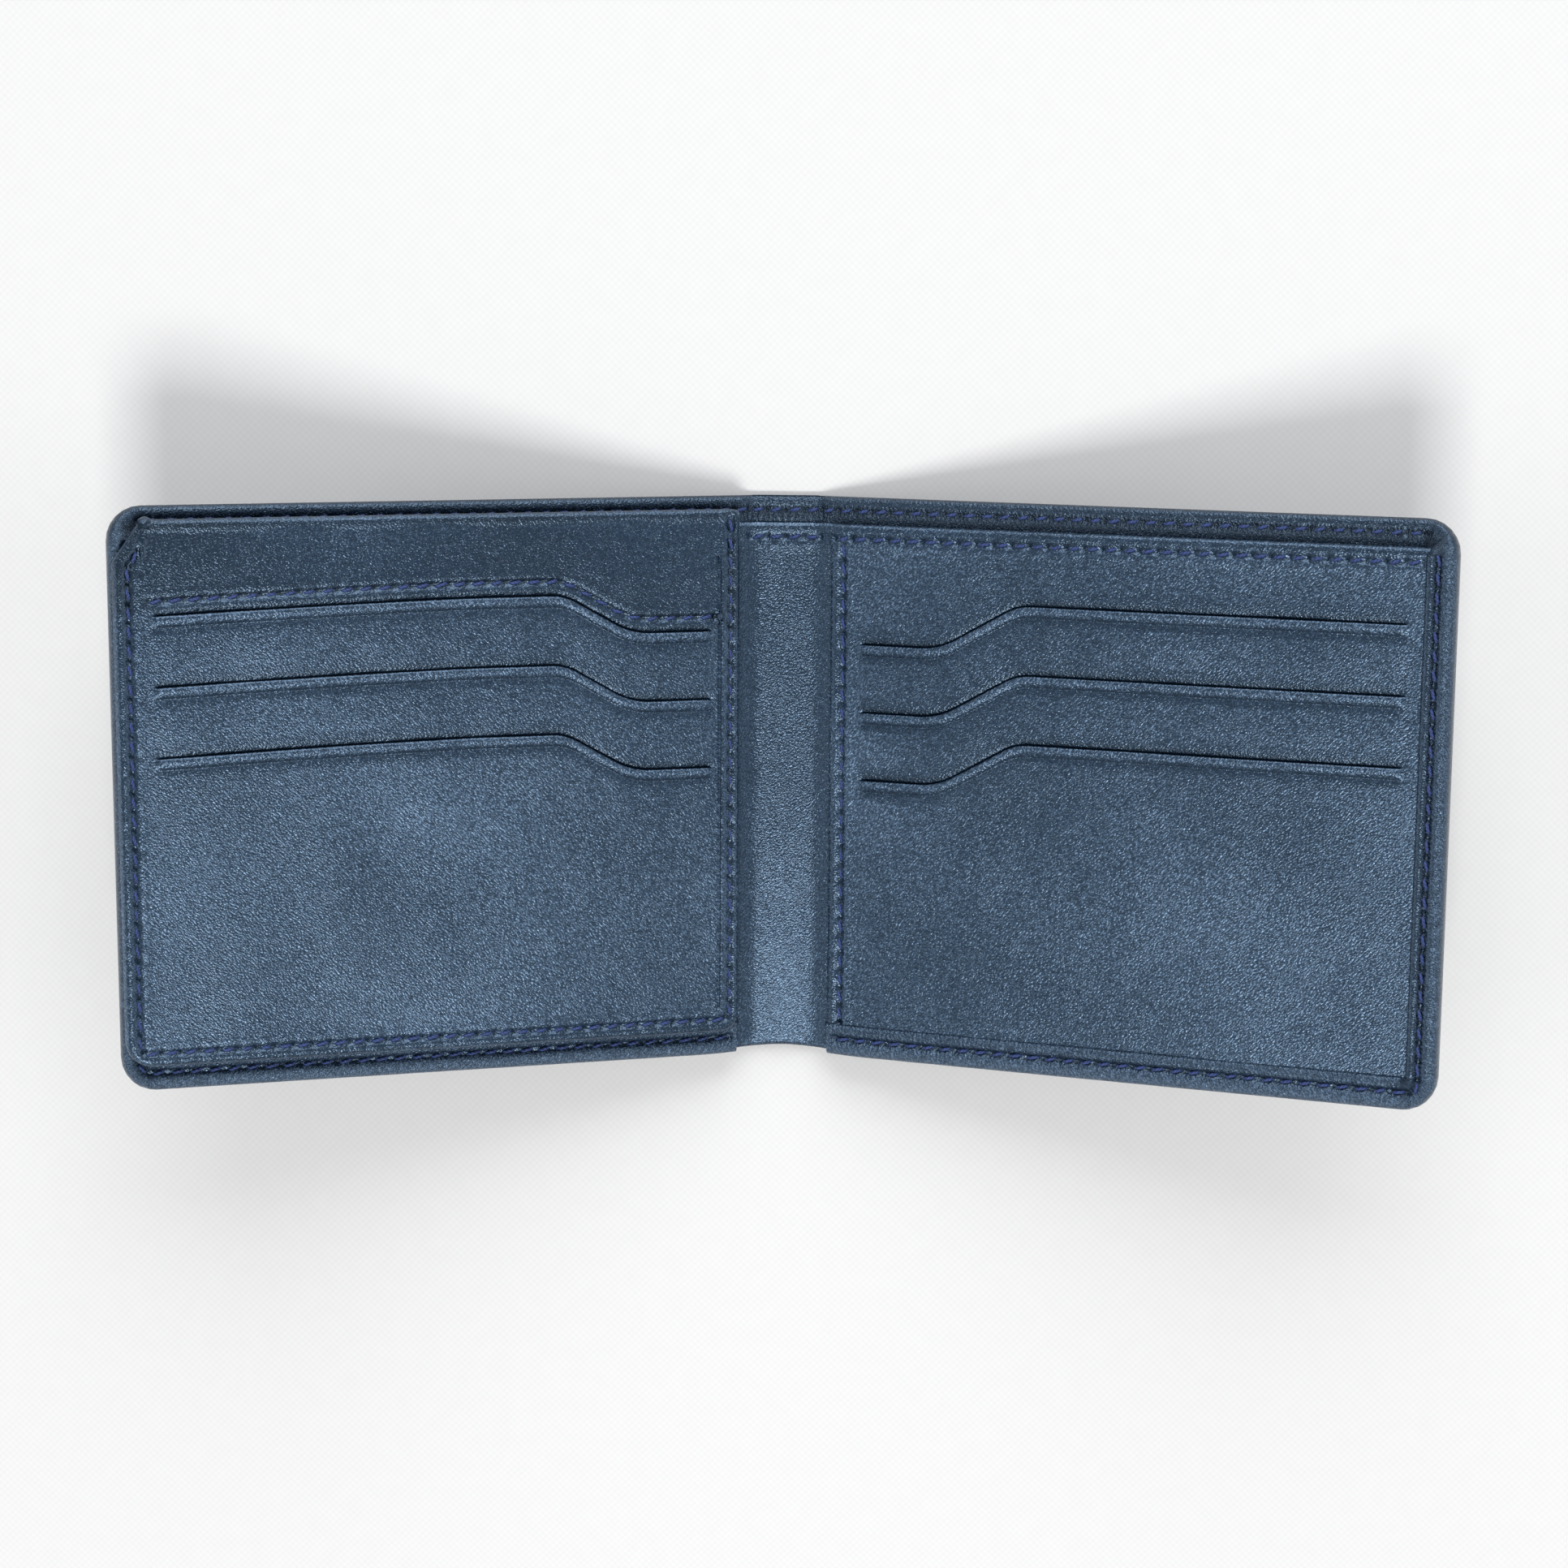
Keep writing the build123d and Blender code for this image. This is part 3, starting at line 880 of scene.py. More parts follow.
# ---- Finishes ------------------------------------------------------------------------------------
@dataclass(frozen=True)
class Leather:
    """Soft pebbled leather, dyed through, with painted glints in its grain: lighter with wear and painted
    highlights, darker with painted shade and with dirt and painted shade along its seams.

    pebble and speck are the grain's sizes in millimetres, and speck_slant is the lean of its glints.
    """

    name: str
    deep: tuple[float, float, float, float]
    bright: tuple[float, float, float, float]
    painted_light_and_wear: tuple[float, float, float, float]
    roughness: float = 0.235
    pebble: float = 0.72
    pebble_height: float = 0.00009
    speck: tuple[float, float] = (0.55, 0.27)
    speck_slant: float = 0.85
    drift: float = 1.2
    ribs: float = 0.0

    def ribbed(self, graph: Graph, place: Wire, wear_and_light: Wire, normal: Wire) -> Wire:
        """Add fine folds across the rolled edge, where wear_and_light, its wear and painted highlight, is
        high.

        Args:
            graph: the material's graph.
            place: leather coordinates, with the distance along the edge as Z.
            wear_and_light: the wear and painted light of each place, which sets how deep the folds are.
            normal: the normal to fold.

        Returns:
            The folded normal.
        """
        along = graph.add("ShaderNodeSeparateXYZ", {}, {"Vector": place}).out("Z")
        sway = graph.noise(graph.flattened(place), 0.9, 3.0, 0.7)
        folds = (along * 8.0 + sway * 16.0).sine() * wear_and_light * sway + 0.5
        inputs = {"Height": folds, "Distance": self.ribs, "Normal": normal}
        return graph.add("ShaderNodeBump", {}, inputs).out("Normal")

    def material(self) -> bpy.types.Material:
        """Build the node graph.

        Returns:
            The leather.
        """
        graph = Graph(self.name)
        place = graph.attribute("leather").out("Vector")
        leather = graph.flattened(place)
        wear_and_light = graph.attribute("wear_and_light").out("Fac")
        drift = graph.add("ShaderNodeTexNoise", {},
                          {"Vector": leather, "Scale": 0.11, "Detail": 1.0}).out("Color")
        moved = graph.add("ShaderNodeVectorMath", {"operation": "MULTIPLY_ADD"},
                          {0: drift, 1: (self.drift, self.drift, 0.0), 2: leather}).out(0)
        turned = graph.add("ShaderNodeMapping", {},
                           {"Vector": moved, "Rotation": (0.0, 0.0, 0.7), "Scale": (1.0, 1.6, 0.0)}).out(0)
        cells = graph.add("ShaderNodeTexVoronoi", {"voronoi_dimensions": "2D", "feature": "DISTANCE_TO_EDGE"},
                          {"Vector": turned, "Scale": 1 / self.pebble, "Randomness": 1.0}).out("Distance")
        pebbles = cells.ramp(0.0, 0.36)
        pores = graph.noise(turned, 2.4, 1.0).ramp(0.28, 0.72)
        patches = graph.noise(leather, 0.07, 3.0, 0.5)
        creases = graph.noise(turned, 0.6, 4.0, 0.6)
        lean = {"Vector": moved, "Rotation": (0.0, 0.0, self.speck_slant), "Scale": (*self.speck, 1.0)}
        narrow = graph.add("ShaderNodeMapping", {"vector_type": "TEXTURE"}, lean).out(0)
        specks = graph.noise(narrow, 1.0, 1.0)
        height = pebbles * 0.25 + pores * 0.1 + creases * 0.4 + specks * 1.15
        normal = graph.bump(height, self.pebble_height)
        if self.ribs:
            normal = self.ribbed(graph, place, wear_and_light, normal)
        grain = pebbles * 0.5 + pores * 0.5
        # Painted glints: bright specks in the grain, mixed towards the painted_light_and_wear colour
        glints = (specks * 0.75 + creases * 0.25).ramp(0.46, 0.68)
        shade = creases.ramp(0.36, 0.64) * 0.22 + patches.ramp(0.3, 0.72) * 0.05 + grain * 0.66
        colour = graph.mix(shade, self.deep, self.bright)
        # Painted shade: below zero, wear_and_light darkens the colour towards deep
        colour = graph.mix((wear_and_light * -1.4).ramp(0.0, 1.0), colour, self.deep)
        # Painted highlight and wear: above zero, wear_and_light and the painted glints lighten it towards
        # painted_light_and_wear
        colour = graph.mix((glints * (0.28 + wear_and_light * 0.5) + wear_and_light * 0.34).ramp(0.0, 1.0), colour, self.painted_light_and_wear)
        rough = self.roughness + 0.1 * (1.0 - grain) + 0.015 * patches - 0.02 * wear_and_light
        return graph.finish(Base_Color=colour, Roughness=rough, Normal=normal, Specular_IOR_Level=1.0,
                            Specular_Tint=(0.5, 0.72, 1.0, 1.0))


@dataclass(frozen=True)
class SewingThread:
    """Royal blue twisted thread."""

    name: str = "blue_thread"
    deep: tuple[float, float, float, float] = (0.003, 0.008, 0.03, 1.0)
    bright: tuple[float, float, float, float] = (0.02, 0.06, 0.26, 1.0)

    def material(self) -> bpy.types.Material:
        """Build the node graph.

        Returns:
            The thread.
        """
        graph = Graph(self.name)
        place = graph.add("ShaderNodeSeparateXYZ", {}, {"Vector": graph.attribute("leather").out("Vector")})
        plies = (place.out("X") * 9.0 + place.out("Y") * 2.0).sine() * 0.5 + 0.5
        tone = graph.noise(graph.attribute("leather").out("Vector"), 0.9, 3.0)
        colour = graph.mix(plies * 0.55 + tone * 0.45, self.deep, self.bright)
        return graph.finish(Base_Color=colour, Roughness=0.5 + 0.12 * tone, Sheen_Weight=0.1,
                            Normal=graph.bump(plies, 0.00007))


@dataclass(frozen=True)
class Lining:
    """Fine woven black cloth inside the pockets."""

    name: str = "lining_cloth"
    threads: float = 3.2
    built: bool = False

    def material(self) -> bpy.types.Material:
        """Build the node graph, on leather coordinates if built and on the frame's otherwise.

        Returns:
            The cloth.
        """
        graph = Graph(self.name)
        if self.built:
            where = graph.attribute("leather").out("Vector")
        else:
            world = graph.add("ShaderNodeTexCoord").out("Object")
            where = graph.add("ShaderNodeVectorMath", {"operation": "SCALE"},
                              {"Vector": world, "Scale": 1 / MM}).out(0)
        split = graph.add("ShaderNodeSeparateXYZ", {}, {"Vector": where})
        warp = (split.out("X") * (2 * math.pi * self.threads)).sine()
        weft = (split.out("Y") * (2 * math.pi * self.threads)).sine()
        weave = warp * weft * 0.5 + 0.5
        fuzz = graph.noise(where, 2.5, 3.0)
        colour = graph.mix(weave * 0.6 + fuzz * 0.4, (0.006, 0.008, 0.013, 1.0), (0.028, 0.034, 0.05, 1.0))
        return graph.finish(Base_Color=colour, Roughness=0.7 + 0.15 * fuzz, Normal=graph.bump(weave, 0.00006))


@dataclass(frozen=True)
class Board:
    """Grey fibre board that stiffens the cover."""

    name: str = "fibre_board"

    def material(self) -> bpy.types.Material:
        """Build the node graph.

        Returns:
            The board.
        """
        graph = Graph(self.name)
        world = graph.add("ShaderNodeTexCoord").out("Object")
        fibres = graph.noise(world, 900.0, 4.0, 0.65)
        colour = graph.mix(fibres, (0.11, 0.1, 0.085, 1.0), (0.26, 0.24, 0.2, 1.0))
        return graph.finish(Base_Color=colour, Roughness=0.85, Normal=graph.bump(fibres, 0.00005))


@dataclass(frozen=True)
class Film:
    """Clear window film with faint rub marks."""

    name: str = "window_film"

    def material(self) -> bpy.types.Material:
        """Build the node graph.

        Returns:
            The film.
        """
        graph = Graph(self.name)
        world = graph.add("ShaderNodeTexCoord").out("Object")
        long = graph.add("ShaderNodeMapping", {}, {"Vector": world, "Rotation": (0.0, 0.0, 0.5),
                                                   "Scale": (60.0, 900.0, 60.0)}).out(0)
        marks = graph.noise(long, 3.0, 3.0)
        swell = graph.noise(world, 45.0, 2.0)
        return graph.finish(Base_Color=(0.7, 0.74, 0.78, 1.0), Roughness=0.08 + 0.16 * marks.ramp(0.5, 0.8),
                            Alpha=0.24, Specular_IOR_Level=0.7, Normal=graph.bump(swell, 0.00015, 0.5))


@dataclass
class Finishes:
    """One material for each of the wallet's finishes."""

    cover: bpy.types.Material = field(init=False)
    inner: bpy.types.Material = field(init=False)
    thread: bpy.types.Material = field(init=False)
    lining: bpy.types.Material = field(init=False)
    lining_built: bpy.types.Material = field(init=False)
    board: bpy.types.Material = field(init=False)
    film: bpy.types.Material = field(init=False)

    def __post_init__(self) -> None:
        """Build every material once."""
        # Each leather's third colour is its painted highlight and wear colour
        self.cover = Leather("cover_leather_navy", (0.001, 0.003, 0.008, 1.0), (0.009, 0.021, 0.042, 1.0),
                             (0.085, 0.135, 0.21, 1.0), ribs=0.00018).material()
        self.inner = Leather("inner_leather_navy", (0.001, 0.004, 0.009, 1.0), (0.0105, 0.026, 0.054, 1.0),
                             (0.15, 0.235, 0.355, 1.0)).material()
        self.thread = SewingThread().material()
        self.lining = Lining().material()
        self.lining_built = Lining("lining_cloth_long", built=True).material()
        self.board = Board().material()
        self.film = Film().material()


# ---- Laying a finished piece ---------------------------------------------------------------------
def give(piece: bpy.types.Object, material: bpy.types.Material, slot: str) -> bpy.types.Object:
    """Give a piece its only material, and log it with its record slot.

    Args:
        piece: the finished object.
        material: its material.
        slot: its slot in the record.

    Returns:
        The piece.
    """
    piece.data.materials.clear()
    piece.data.materials.append(material)
    log.info("%s: %d faces, %s", piece.name, len(piece.data.polygons), slot)
    return piece


@dataclass
class SewnSeams:
    """The stitches of one or more seams as one piece."""

    leaf: Leaf
    name: str
    nodes: tuple[str, ...]
    thread: Thread = Thread()

    def build(self, runs: list[tuple[Seam, Levels, int]], finishes: Finishes) -> bpy.types.Object:
        """Sew every run.

        Args:
            runs: (seam, levels of the leather at the groove, 1 for a face that looks up or -1).
            finishes: the wallet's materials.

        Returns:
            The stitches.
        """
        patches = []
        for seam, levels, up in runs:
            points, twist = self.thread.stitch_points(seam, levels, up, self.leaf.side)
            stitches, rings, sides = points.shape[:3]
            one = grid_faces(rings, sides, closed=True)
            one += [tuple(range(sides)), tuple(range((rings - 1) * sides, rings * sides))[::-1]]
            faces = [tuple(v + k * rings * sides for v in face) for k in range(stitches) for face in one]
            patches.append(Patch(points, twist, faces))
        piece = make_mesh(self.name, self.leaf, patches, weld=False)
        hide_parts(*self.nodes)
        return give(piece, finishes.thread, "thread")


# ---- Slotted panels ------------------------------------------------------------------------------
@dataclass(frozen=True)
class CardSlots:
    """The three wavy card slots of a panel, each with a raised, rolled lip below its opening."""

    first: float
    step: float
    pitch: float = 11.3
    count: int = 3
    start: float = 7.2
    end: float = 97.3
    wave_start: float = 18.0
    slope: float = math.radians(30)
    foot: float = 12.0
    head: float = 8.0
    droop: float = 0.0
    droop_start: float = 45.0
    taper: float = 1.5

    def wave(self, u: Array) -> Array:
        """Height of a slot's line at u, against its high run.

        Args:
            u: places outward.

        Returns:
            Height at each place.
        """
        u = np.asarray(u, float)
        foot_end = self.wave_start + self.foot * math.sin(self.slope)
        foot_rise = self.foot * (1 - math.cos(self.slope))
        head_rise = self.head * (1 - math.cos(self.slope))
        head_start = foot_end + (self.step - foot_rise - head_rise) / math.tan(self.slope)
        head_end = head_start + self.head * math.sin(self.slope)
        into_foot = np.clip(u - self.wave_start, 0, None)
        foot_arc = self.foot - np.sqrt(np.maximum(self.foot ** 2 - into_foot ** 2, 0))
        head_arc = np.sqrt(np.maximum(self.head ** 2 - np.clip(head_end - u, 0, None) ** 2, 0)) - self.head
        straight = foot_rise + (u - foot_end) * math.tan(self.slope)
        low = np.where(u < foot_end, foot_arc, straight) - self.step
        high = np.where(u < head_start, low, np.where(u < head_end, head_arc, 0.0))
        fall = self.droop * np.clip((u - self.droop_start) / (self.end - self.droop_start), 0, 1) ** 1.4
        return high - fall

    def lip(self) -> Array:
        """Across the slot: (place when shut flat, place, height), from above the opening downward.

        Returns:
            The points of the lip's section.
        """
        return smooth_line([
            (2.0, 2.0, 0.0), (1.0, 1.0, -0.03), (0.42, 0.42, -0.16), (0.28, -0.05, -0.38), (0.2, -0.45, -0.5),
            (0.14, -0.6, -0.44), (0.08, -0.42, -0.32), (0.02, -0.1, -0.14), (-0.06, 0.0, 0.1),
            (-0.22, -0.17, 0.33), (-0.62, -0.6, 0.43), (-1.15, -1.13, 0.34), (-1.62, -1.62, 0.1),
            (-1.9, -1.92, -0.14), (-2.2, -2.2, -0.07), (-2.9, -2.9, 0.0)], 2)

    def openness(self, u: Array) -> Array:
        """0 past the slot's ends and 1 along it, with tapered ends."""
        return ease((u - self.start) / self.taper) * ease((self.end - u) / self.taper)

    def levels(self) -> list[float]:
        """Height of each slot's high run, from the lowest up."""
        return [self.first - row * self.pitch for row in reversed(range(self.count))]


@dataclass
class SlottedPanel:
    """A leather face with card slots: a fine rim with the seams, a block with the slots, and a fill."""

    leaf: Leaf
    name: str
    outline: Outline
    edges: tuple[Edge, Edge, Edge, Edge]
    slots: CardSlots
    base: float
    seams: list[Seam]
    seed: int
    wave_seam: float = 0.0
    inset: float = 4.6
    outer_inset: float = 5.6
    top_inset: float = 4.6
    crown: float = 0.22
    thickness: float = 0.45
    rim_step: float = 0.46
    corner_points: int = 22
    top_fall: float = 0.0
    band_shade: float = 0.0
    buckle: float = 0.15
    ripple: float = 0.005
    block_reach: float = 0.3
    block_margin: float = 0.9

    def wave_line(self) -> Array:
        """The line of the wavy seam above the first slot."""
        u = np.linspace(self.slots.start, self.slots.end, 90)
        return np.stack([u, self.slots.wave(u) + self.slots.first + self.wave_seam], axis=-1)

    def all_seams(self) -> list[Seam]:
        """The straight seams and, if there is one, the wavy one."""
        return self.seams + ([Seam(self.wave_line(), groove=0.3)] if self.wave_seam else [])

    def surface(self, u: Array, y: Array) -> Array:
        """Height of the panel's face without its edges and lips.

        Args:
            u: places outward.
            y: places up the wallet.

        Returns:
            Height at each place.
        """
        low, high = self.outline.low, self.outline.high
        across = np.abs(2 * (u - low[0]) / (high[0] - low[0]) - 1)
        up = np.abs(2 * (y - low[1]) / (high[1] - low[1]) - 1)
        swell = self.crown * (1 - np.clip(across, 0, 1) ** 3) * (1 - np.clip(up, 0, 1) ** 3)
        v = y - self.slots.wave(u)
        lowest = self.slots.levels()[0]
        between = (v > lowest) & (v < self.slots.first)
        puff = np.where(between, 0.5 - 0.5 * np.cos(2 * math.pi * (v - lowest) / self.slots.pitch), 0)
        waver = self.buckle * Wander(self.seed, 14, 60).at(u, y)
        waver = waver + self.ripple * Wander(self.seed + 1, 2.5, 7).at(u, y)
        pressed = sum(seam.relief(u, y) for seam in self.all_seams())
        fall = self.top_fall * ease((y - high[1] + 12) / 12)
        return self.base + swell + 0.12 * puff * self.slots.openness(u) + waver - pressed - fall

    def wear_and_light_map(self, u: Array, y: Array) -> Array:
        """Wear and painted light over the panel: a little lighter all over, with painted sheen in broad
        patches and more towards its edges, band_shade above the first slot, and dirt and painted shade along
        the seams.

        Args:
            u: places outward.
            y: places up the wallet.

        Returns:
            1 where wear and painted sheen make it bright, 0 where it is plain and -1 where painted shade and
            dirt make it dark.
        """
        low, high = self.outline.low, self.outline.high
        to_edge = np.minimum.reduce([u - low[0], high[0] - u, y - low[1], high[1] - y])
        above = ease((y - self.slots.wave(u) - self.slots.first - 0.1) / 0.6)
        # Seam dirt and painted shade in the seam grooves
        dirt_and_painted_shade = sum(bell(seam.near(u, y)[0], 0.55) for seam in self.all_seams())
        # Painted sheen: lighter in broad patches and towards the edges
        wear_and_light = 0.16 + 0.2 * Wander(self.seed + 9, 25, 80).at(u, y) + 0.14 * bell(to_edge, 11)
        return np.clip(wear_and_light - self.band_shade * above - 0.45 * dirt_and_painted_shade, -1, 1)

    def rim(self) -> tuple[Patch, Array]:
        """The rim patch, and its inner loop.

        Returns:
            The patch and the loop, anticlockwise.
        """
        low, high = self.outline.low, self.outline.high
        inner = min(low[0] + self.inset, self.slots.start - self.block_margin)
        outer = max(high[0] - self.outer_inset, self.slots.end + self.block_margin)
        us = spaced(inner, outer, self.rim_step)
        ys = spaced(low[1] + self.inset, high[1] - self.top_inset, self.rim_step)
        core = box_loop(us, ys, self.corner_points)
        rim = self.outline.loop(us, ys, self.corner_points)
        shares = side_shares(us, ys, self.corner_points)
        profiles = [smooth_line(edge.value, 2) for edge in self.edges]
        points, leather = rim_points(core, rim, shares, profiles, 2)
        points[..., 2] += self.surface(points[..., 0], points[..., 1])
        rows, columns = points.shape[:2]
        # Painted highlight along the crest of the rolled edge, painted shade on the roll inside it and
        # painted shade where the edge turns under
        crest = (np.arange(rows)[:, None] - rows * 0.7) / rows
        painted_light_and_wear = 0.5 * bell(crest, 0.07) - 0.3 * ease((crest + 0.34) / 0.12)
        painted_light_and_wear = painted_light_and_wear + self.wear_and_light_map(points[..., 0], points[..., 1]) - 0.8 * ease((crest - 0.14) / 0.1)
        loop = box_loop(us, ys, 0)
        keep = np.linalg.norm(loop - np.roll(loop, 1, axis=0), axis=1) > 1e-6
        return Patch(points, leather, grid_faces(rows, columns, closed=True, turned=True), painted_light_and_wear), loop[keep]

    def block(self) -> tuple[Patch, Array]:
        """The patch that holds the slots, and its outer loop.

        Returns:
            The patch and the loop, anticlockwise.
        """
        lip = self.slots.lip()[::-1]
        levels = self.slots.levels()
        top = levels[-1] + max(self.wave_seam, 1.0) + 2.0
        near = [(levels[-1] + self.wave_seam, 0.9, 0.22)] if self.wave_seam else []
        starts = [levels[0] - 4.4] + [level + lip[-1, 0] for level in levels]
        ends = [level + lip[0, 0] for level in levels] + [top]
        rows = []
        for k, (start, end) in enumerate(zip(starts, ends)):
            plain = spaced(start, end, 0.75, near if k == len(levels) else ())
            plain = plain if k == 0 else plain[1:]
            plain = plain if k == len(levels) else plain[:-1]
            rows += [(v, v, 0.0, 0.0) for v in plain]
            if k < len(levels):
                rows += [(levels[k] + flat, levels[k] + place, rise, 1.0) for flat, place, rise in lip]
        flat, place, rise, lips = (np.array(column)[:, None] for column in zip(*rows))
        # Where the painted shadow above each slot's opening falls
        above_slots = np.array(levels) + 0.6
        shade_line = above_slots[np.abs(flat - above_slots[None]).argmin(1)][:, None]
        ends_near = [(self.slots.start + 0.8, 1.0, 0.25), (self.slots.end - 0.8, 1.0, 0.25)]
        reach = self.block_reach
        u = spaced(self.slots.start - reach, self.slots.end + reach, 0.62, ends_near)[None, :]
        opened = self.slots.openness(u)
        v = flat + (place - flat) * opened
        y = v + self.slots.wave(u)
        life = 1 + 0.14 * Wander(self.seed + 5, 6, 30).at(u, flat)
        h = self.surface(np.broadcast_to(u, y.shape), y) + rise * opened * life
        points = np.stack([np.broadcast_to(u, y.shape), y, h], axis=-1)
        leather = np.stack([points[..., 0], flat + self.slots.wave(u), 0 * y], axis=-1)
        # Painted highlight on the raised lips, and a painted shadow just above each opening, where the lip
        # shades the leather
        wear_and_light = self.wear_and_light_map(points[..., 0], y) * (1 - opened * lips)
        wear_and_light = wear_and_light + (0.4 * np.clip(rise / 0.43, 0, 1) - 0.7 * bell(flat - shade_line, 0.45)) * opened
        edge = points[..., :2]
        loop = np.vstack([edge[0], edge[1:, -1], edge[-1, -2::-1], edge[-2:0:-1, 0]])
        return Patch(points, leather, grid_faces(*y.shape), wear_and_light), loop

    def between(self, outer: Array, hole: Array) -> Patch:
        """The plain leather between the block and the rim.

        Args:
            outer: the rim's inner loop.
            hole: the block's outer loop.

        Returns:
            The patch.
        """
        loose = scattered(tuple(outer.min(0) + 0.6), tuple(outer.max(0) - 0.6), 1.25)
        v = loose[:, 1] - self.slots.wave(loose[:, 0])
        corner_v = hole[:, 1] - self.slots.wave(hole[:, 0])
        clear = 0.5
        near = (loose[:, 0] > hole[:, 0].min() - clear) & (loose[:, 0] < hole[:, 0].max() + clear)
        near &= (v > corner_v.min() - clear) & (v < corner_v.max() + clear)
        place, triangles = fill(outer, hole, loose[~near])
        h = self.surface(place[:, 0], place[:, 1])
        points = np.column_stack([place, h])
        leather = np.column_stack([place, 0 * h])
        wear_and_light = self.wear_and_light_map(place[:, 0], place[:, 1])
        return Patch(points, leather, [tuple(t) for t in triangles.tolist()], wear_and_light)

    def build(self, finishes: Finishes, node: str, body: str) -> bpy.types.Object:
        """Make the panel in place of its CAD node.

        Args:
            finishes: the wallet's materials.
            node: the CAD node that it replaces.
            body: the body that it rides on.

        Returns:
            The panel.
        """
        rim, outer = self.rim()
        block, hole = self.block()
        piece = make_mesh(self.name, self.leaf, [rim, block, self.between(outer, hole)])
        thicken(piece, self.thickness)
        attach(piece, body)
        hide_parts(node)
        return give(piece, finishes.inner, "inner_leather")


# ---- The cover -----------------------------------------------------------------------------------
class CoverEdge(Enum):
    """Across the cover's edge: (inset from the outline, height from the outer face) round to the inside."""

    BOTTOM = ((3.9, 0.0), (3.1, 0.0), (2.3, 0.0), (1.2, 0.04), (0.45, 0.3), (0.05, 1.1), (0.0, 2.2),
              (0.06, 3.2), (0.42, 4.02), (1.1, 4.4), (1.9, 4.46), (2.6, 4.32), (3.1, 4.24), (3.6, 4.36),
              (4.3, 4.5), (4.95, 4.46), (5.35, 4.3), (5.5, 4.0), (5.44, 3.75))
    SIDE = ((3.9, 0.0), (3.0, 0.0), (2.2, 0.0), (1.2, 0.04), (0.45, 0.3), (0.05, 1.1), (0.0, 2.2),
            (0.06, 3.2), (0.42, 4.02), (1.1, 4.38), (1.8, 4.44), (2.5, 4.34), (3.0, 4.26), (3.4, 4.36),
            (3.9, 4.42), (4.4, 4.36), (4.75, 4.2), (4.9, 3.95), (4.86, 3.75))
    TOP = ((3.9, 0.0), (3.0, 0.0), (2.2, 0.0), (1.2, 0.02), (0.5, 0.12), (0.12, 0.5), (0.0, 0.95),
           (0.14, 1.4), (0.5, 1.76), (1.1, 1.86), (1.8, 1.86), (2.3, 1.8), (2.8, 1.84), (3.4, 1.86),
           (4.1, 1.86), (4.8, 1.84), (5.4, 1.82), (5.8, 1.8), (6.0, 1.78))
    SPINE = ((3.9, 0.0), (3.1, 0.0), (2.3, 0.0), (1.2, 0.02), (0.5, 0.1), (0.12, 0.3), (0.0, 0.6),
             (0.1, 0.9), (0.42, 1.2), (1.1, 1.3), (1.9, 1.3), (2.6, 1.3), (3.1, 1.3), (3.6, 1.3),
             (4.3, 1.3), (4.95, 1.3), (5.35, 1.3), (5.5, 1.28), (5.44, 1.2))


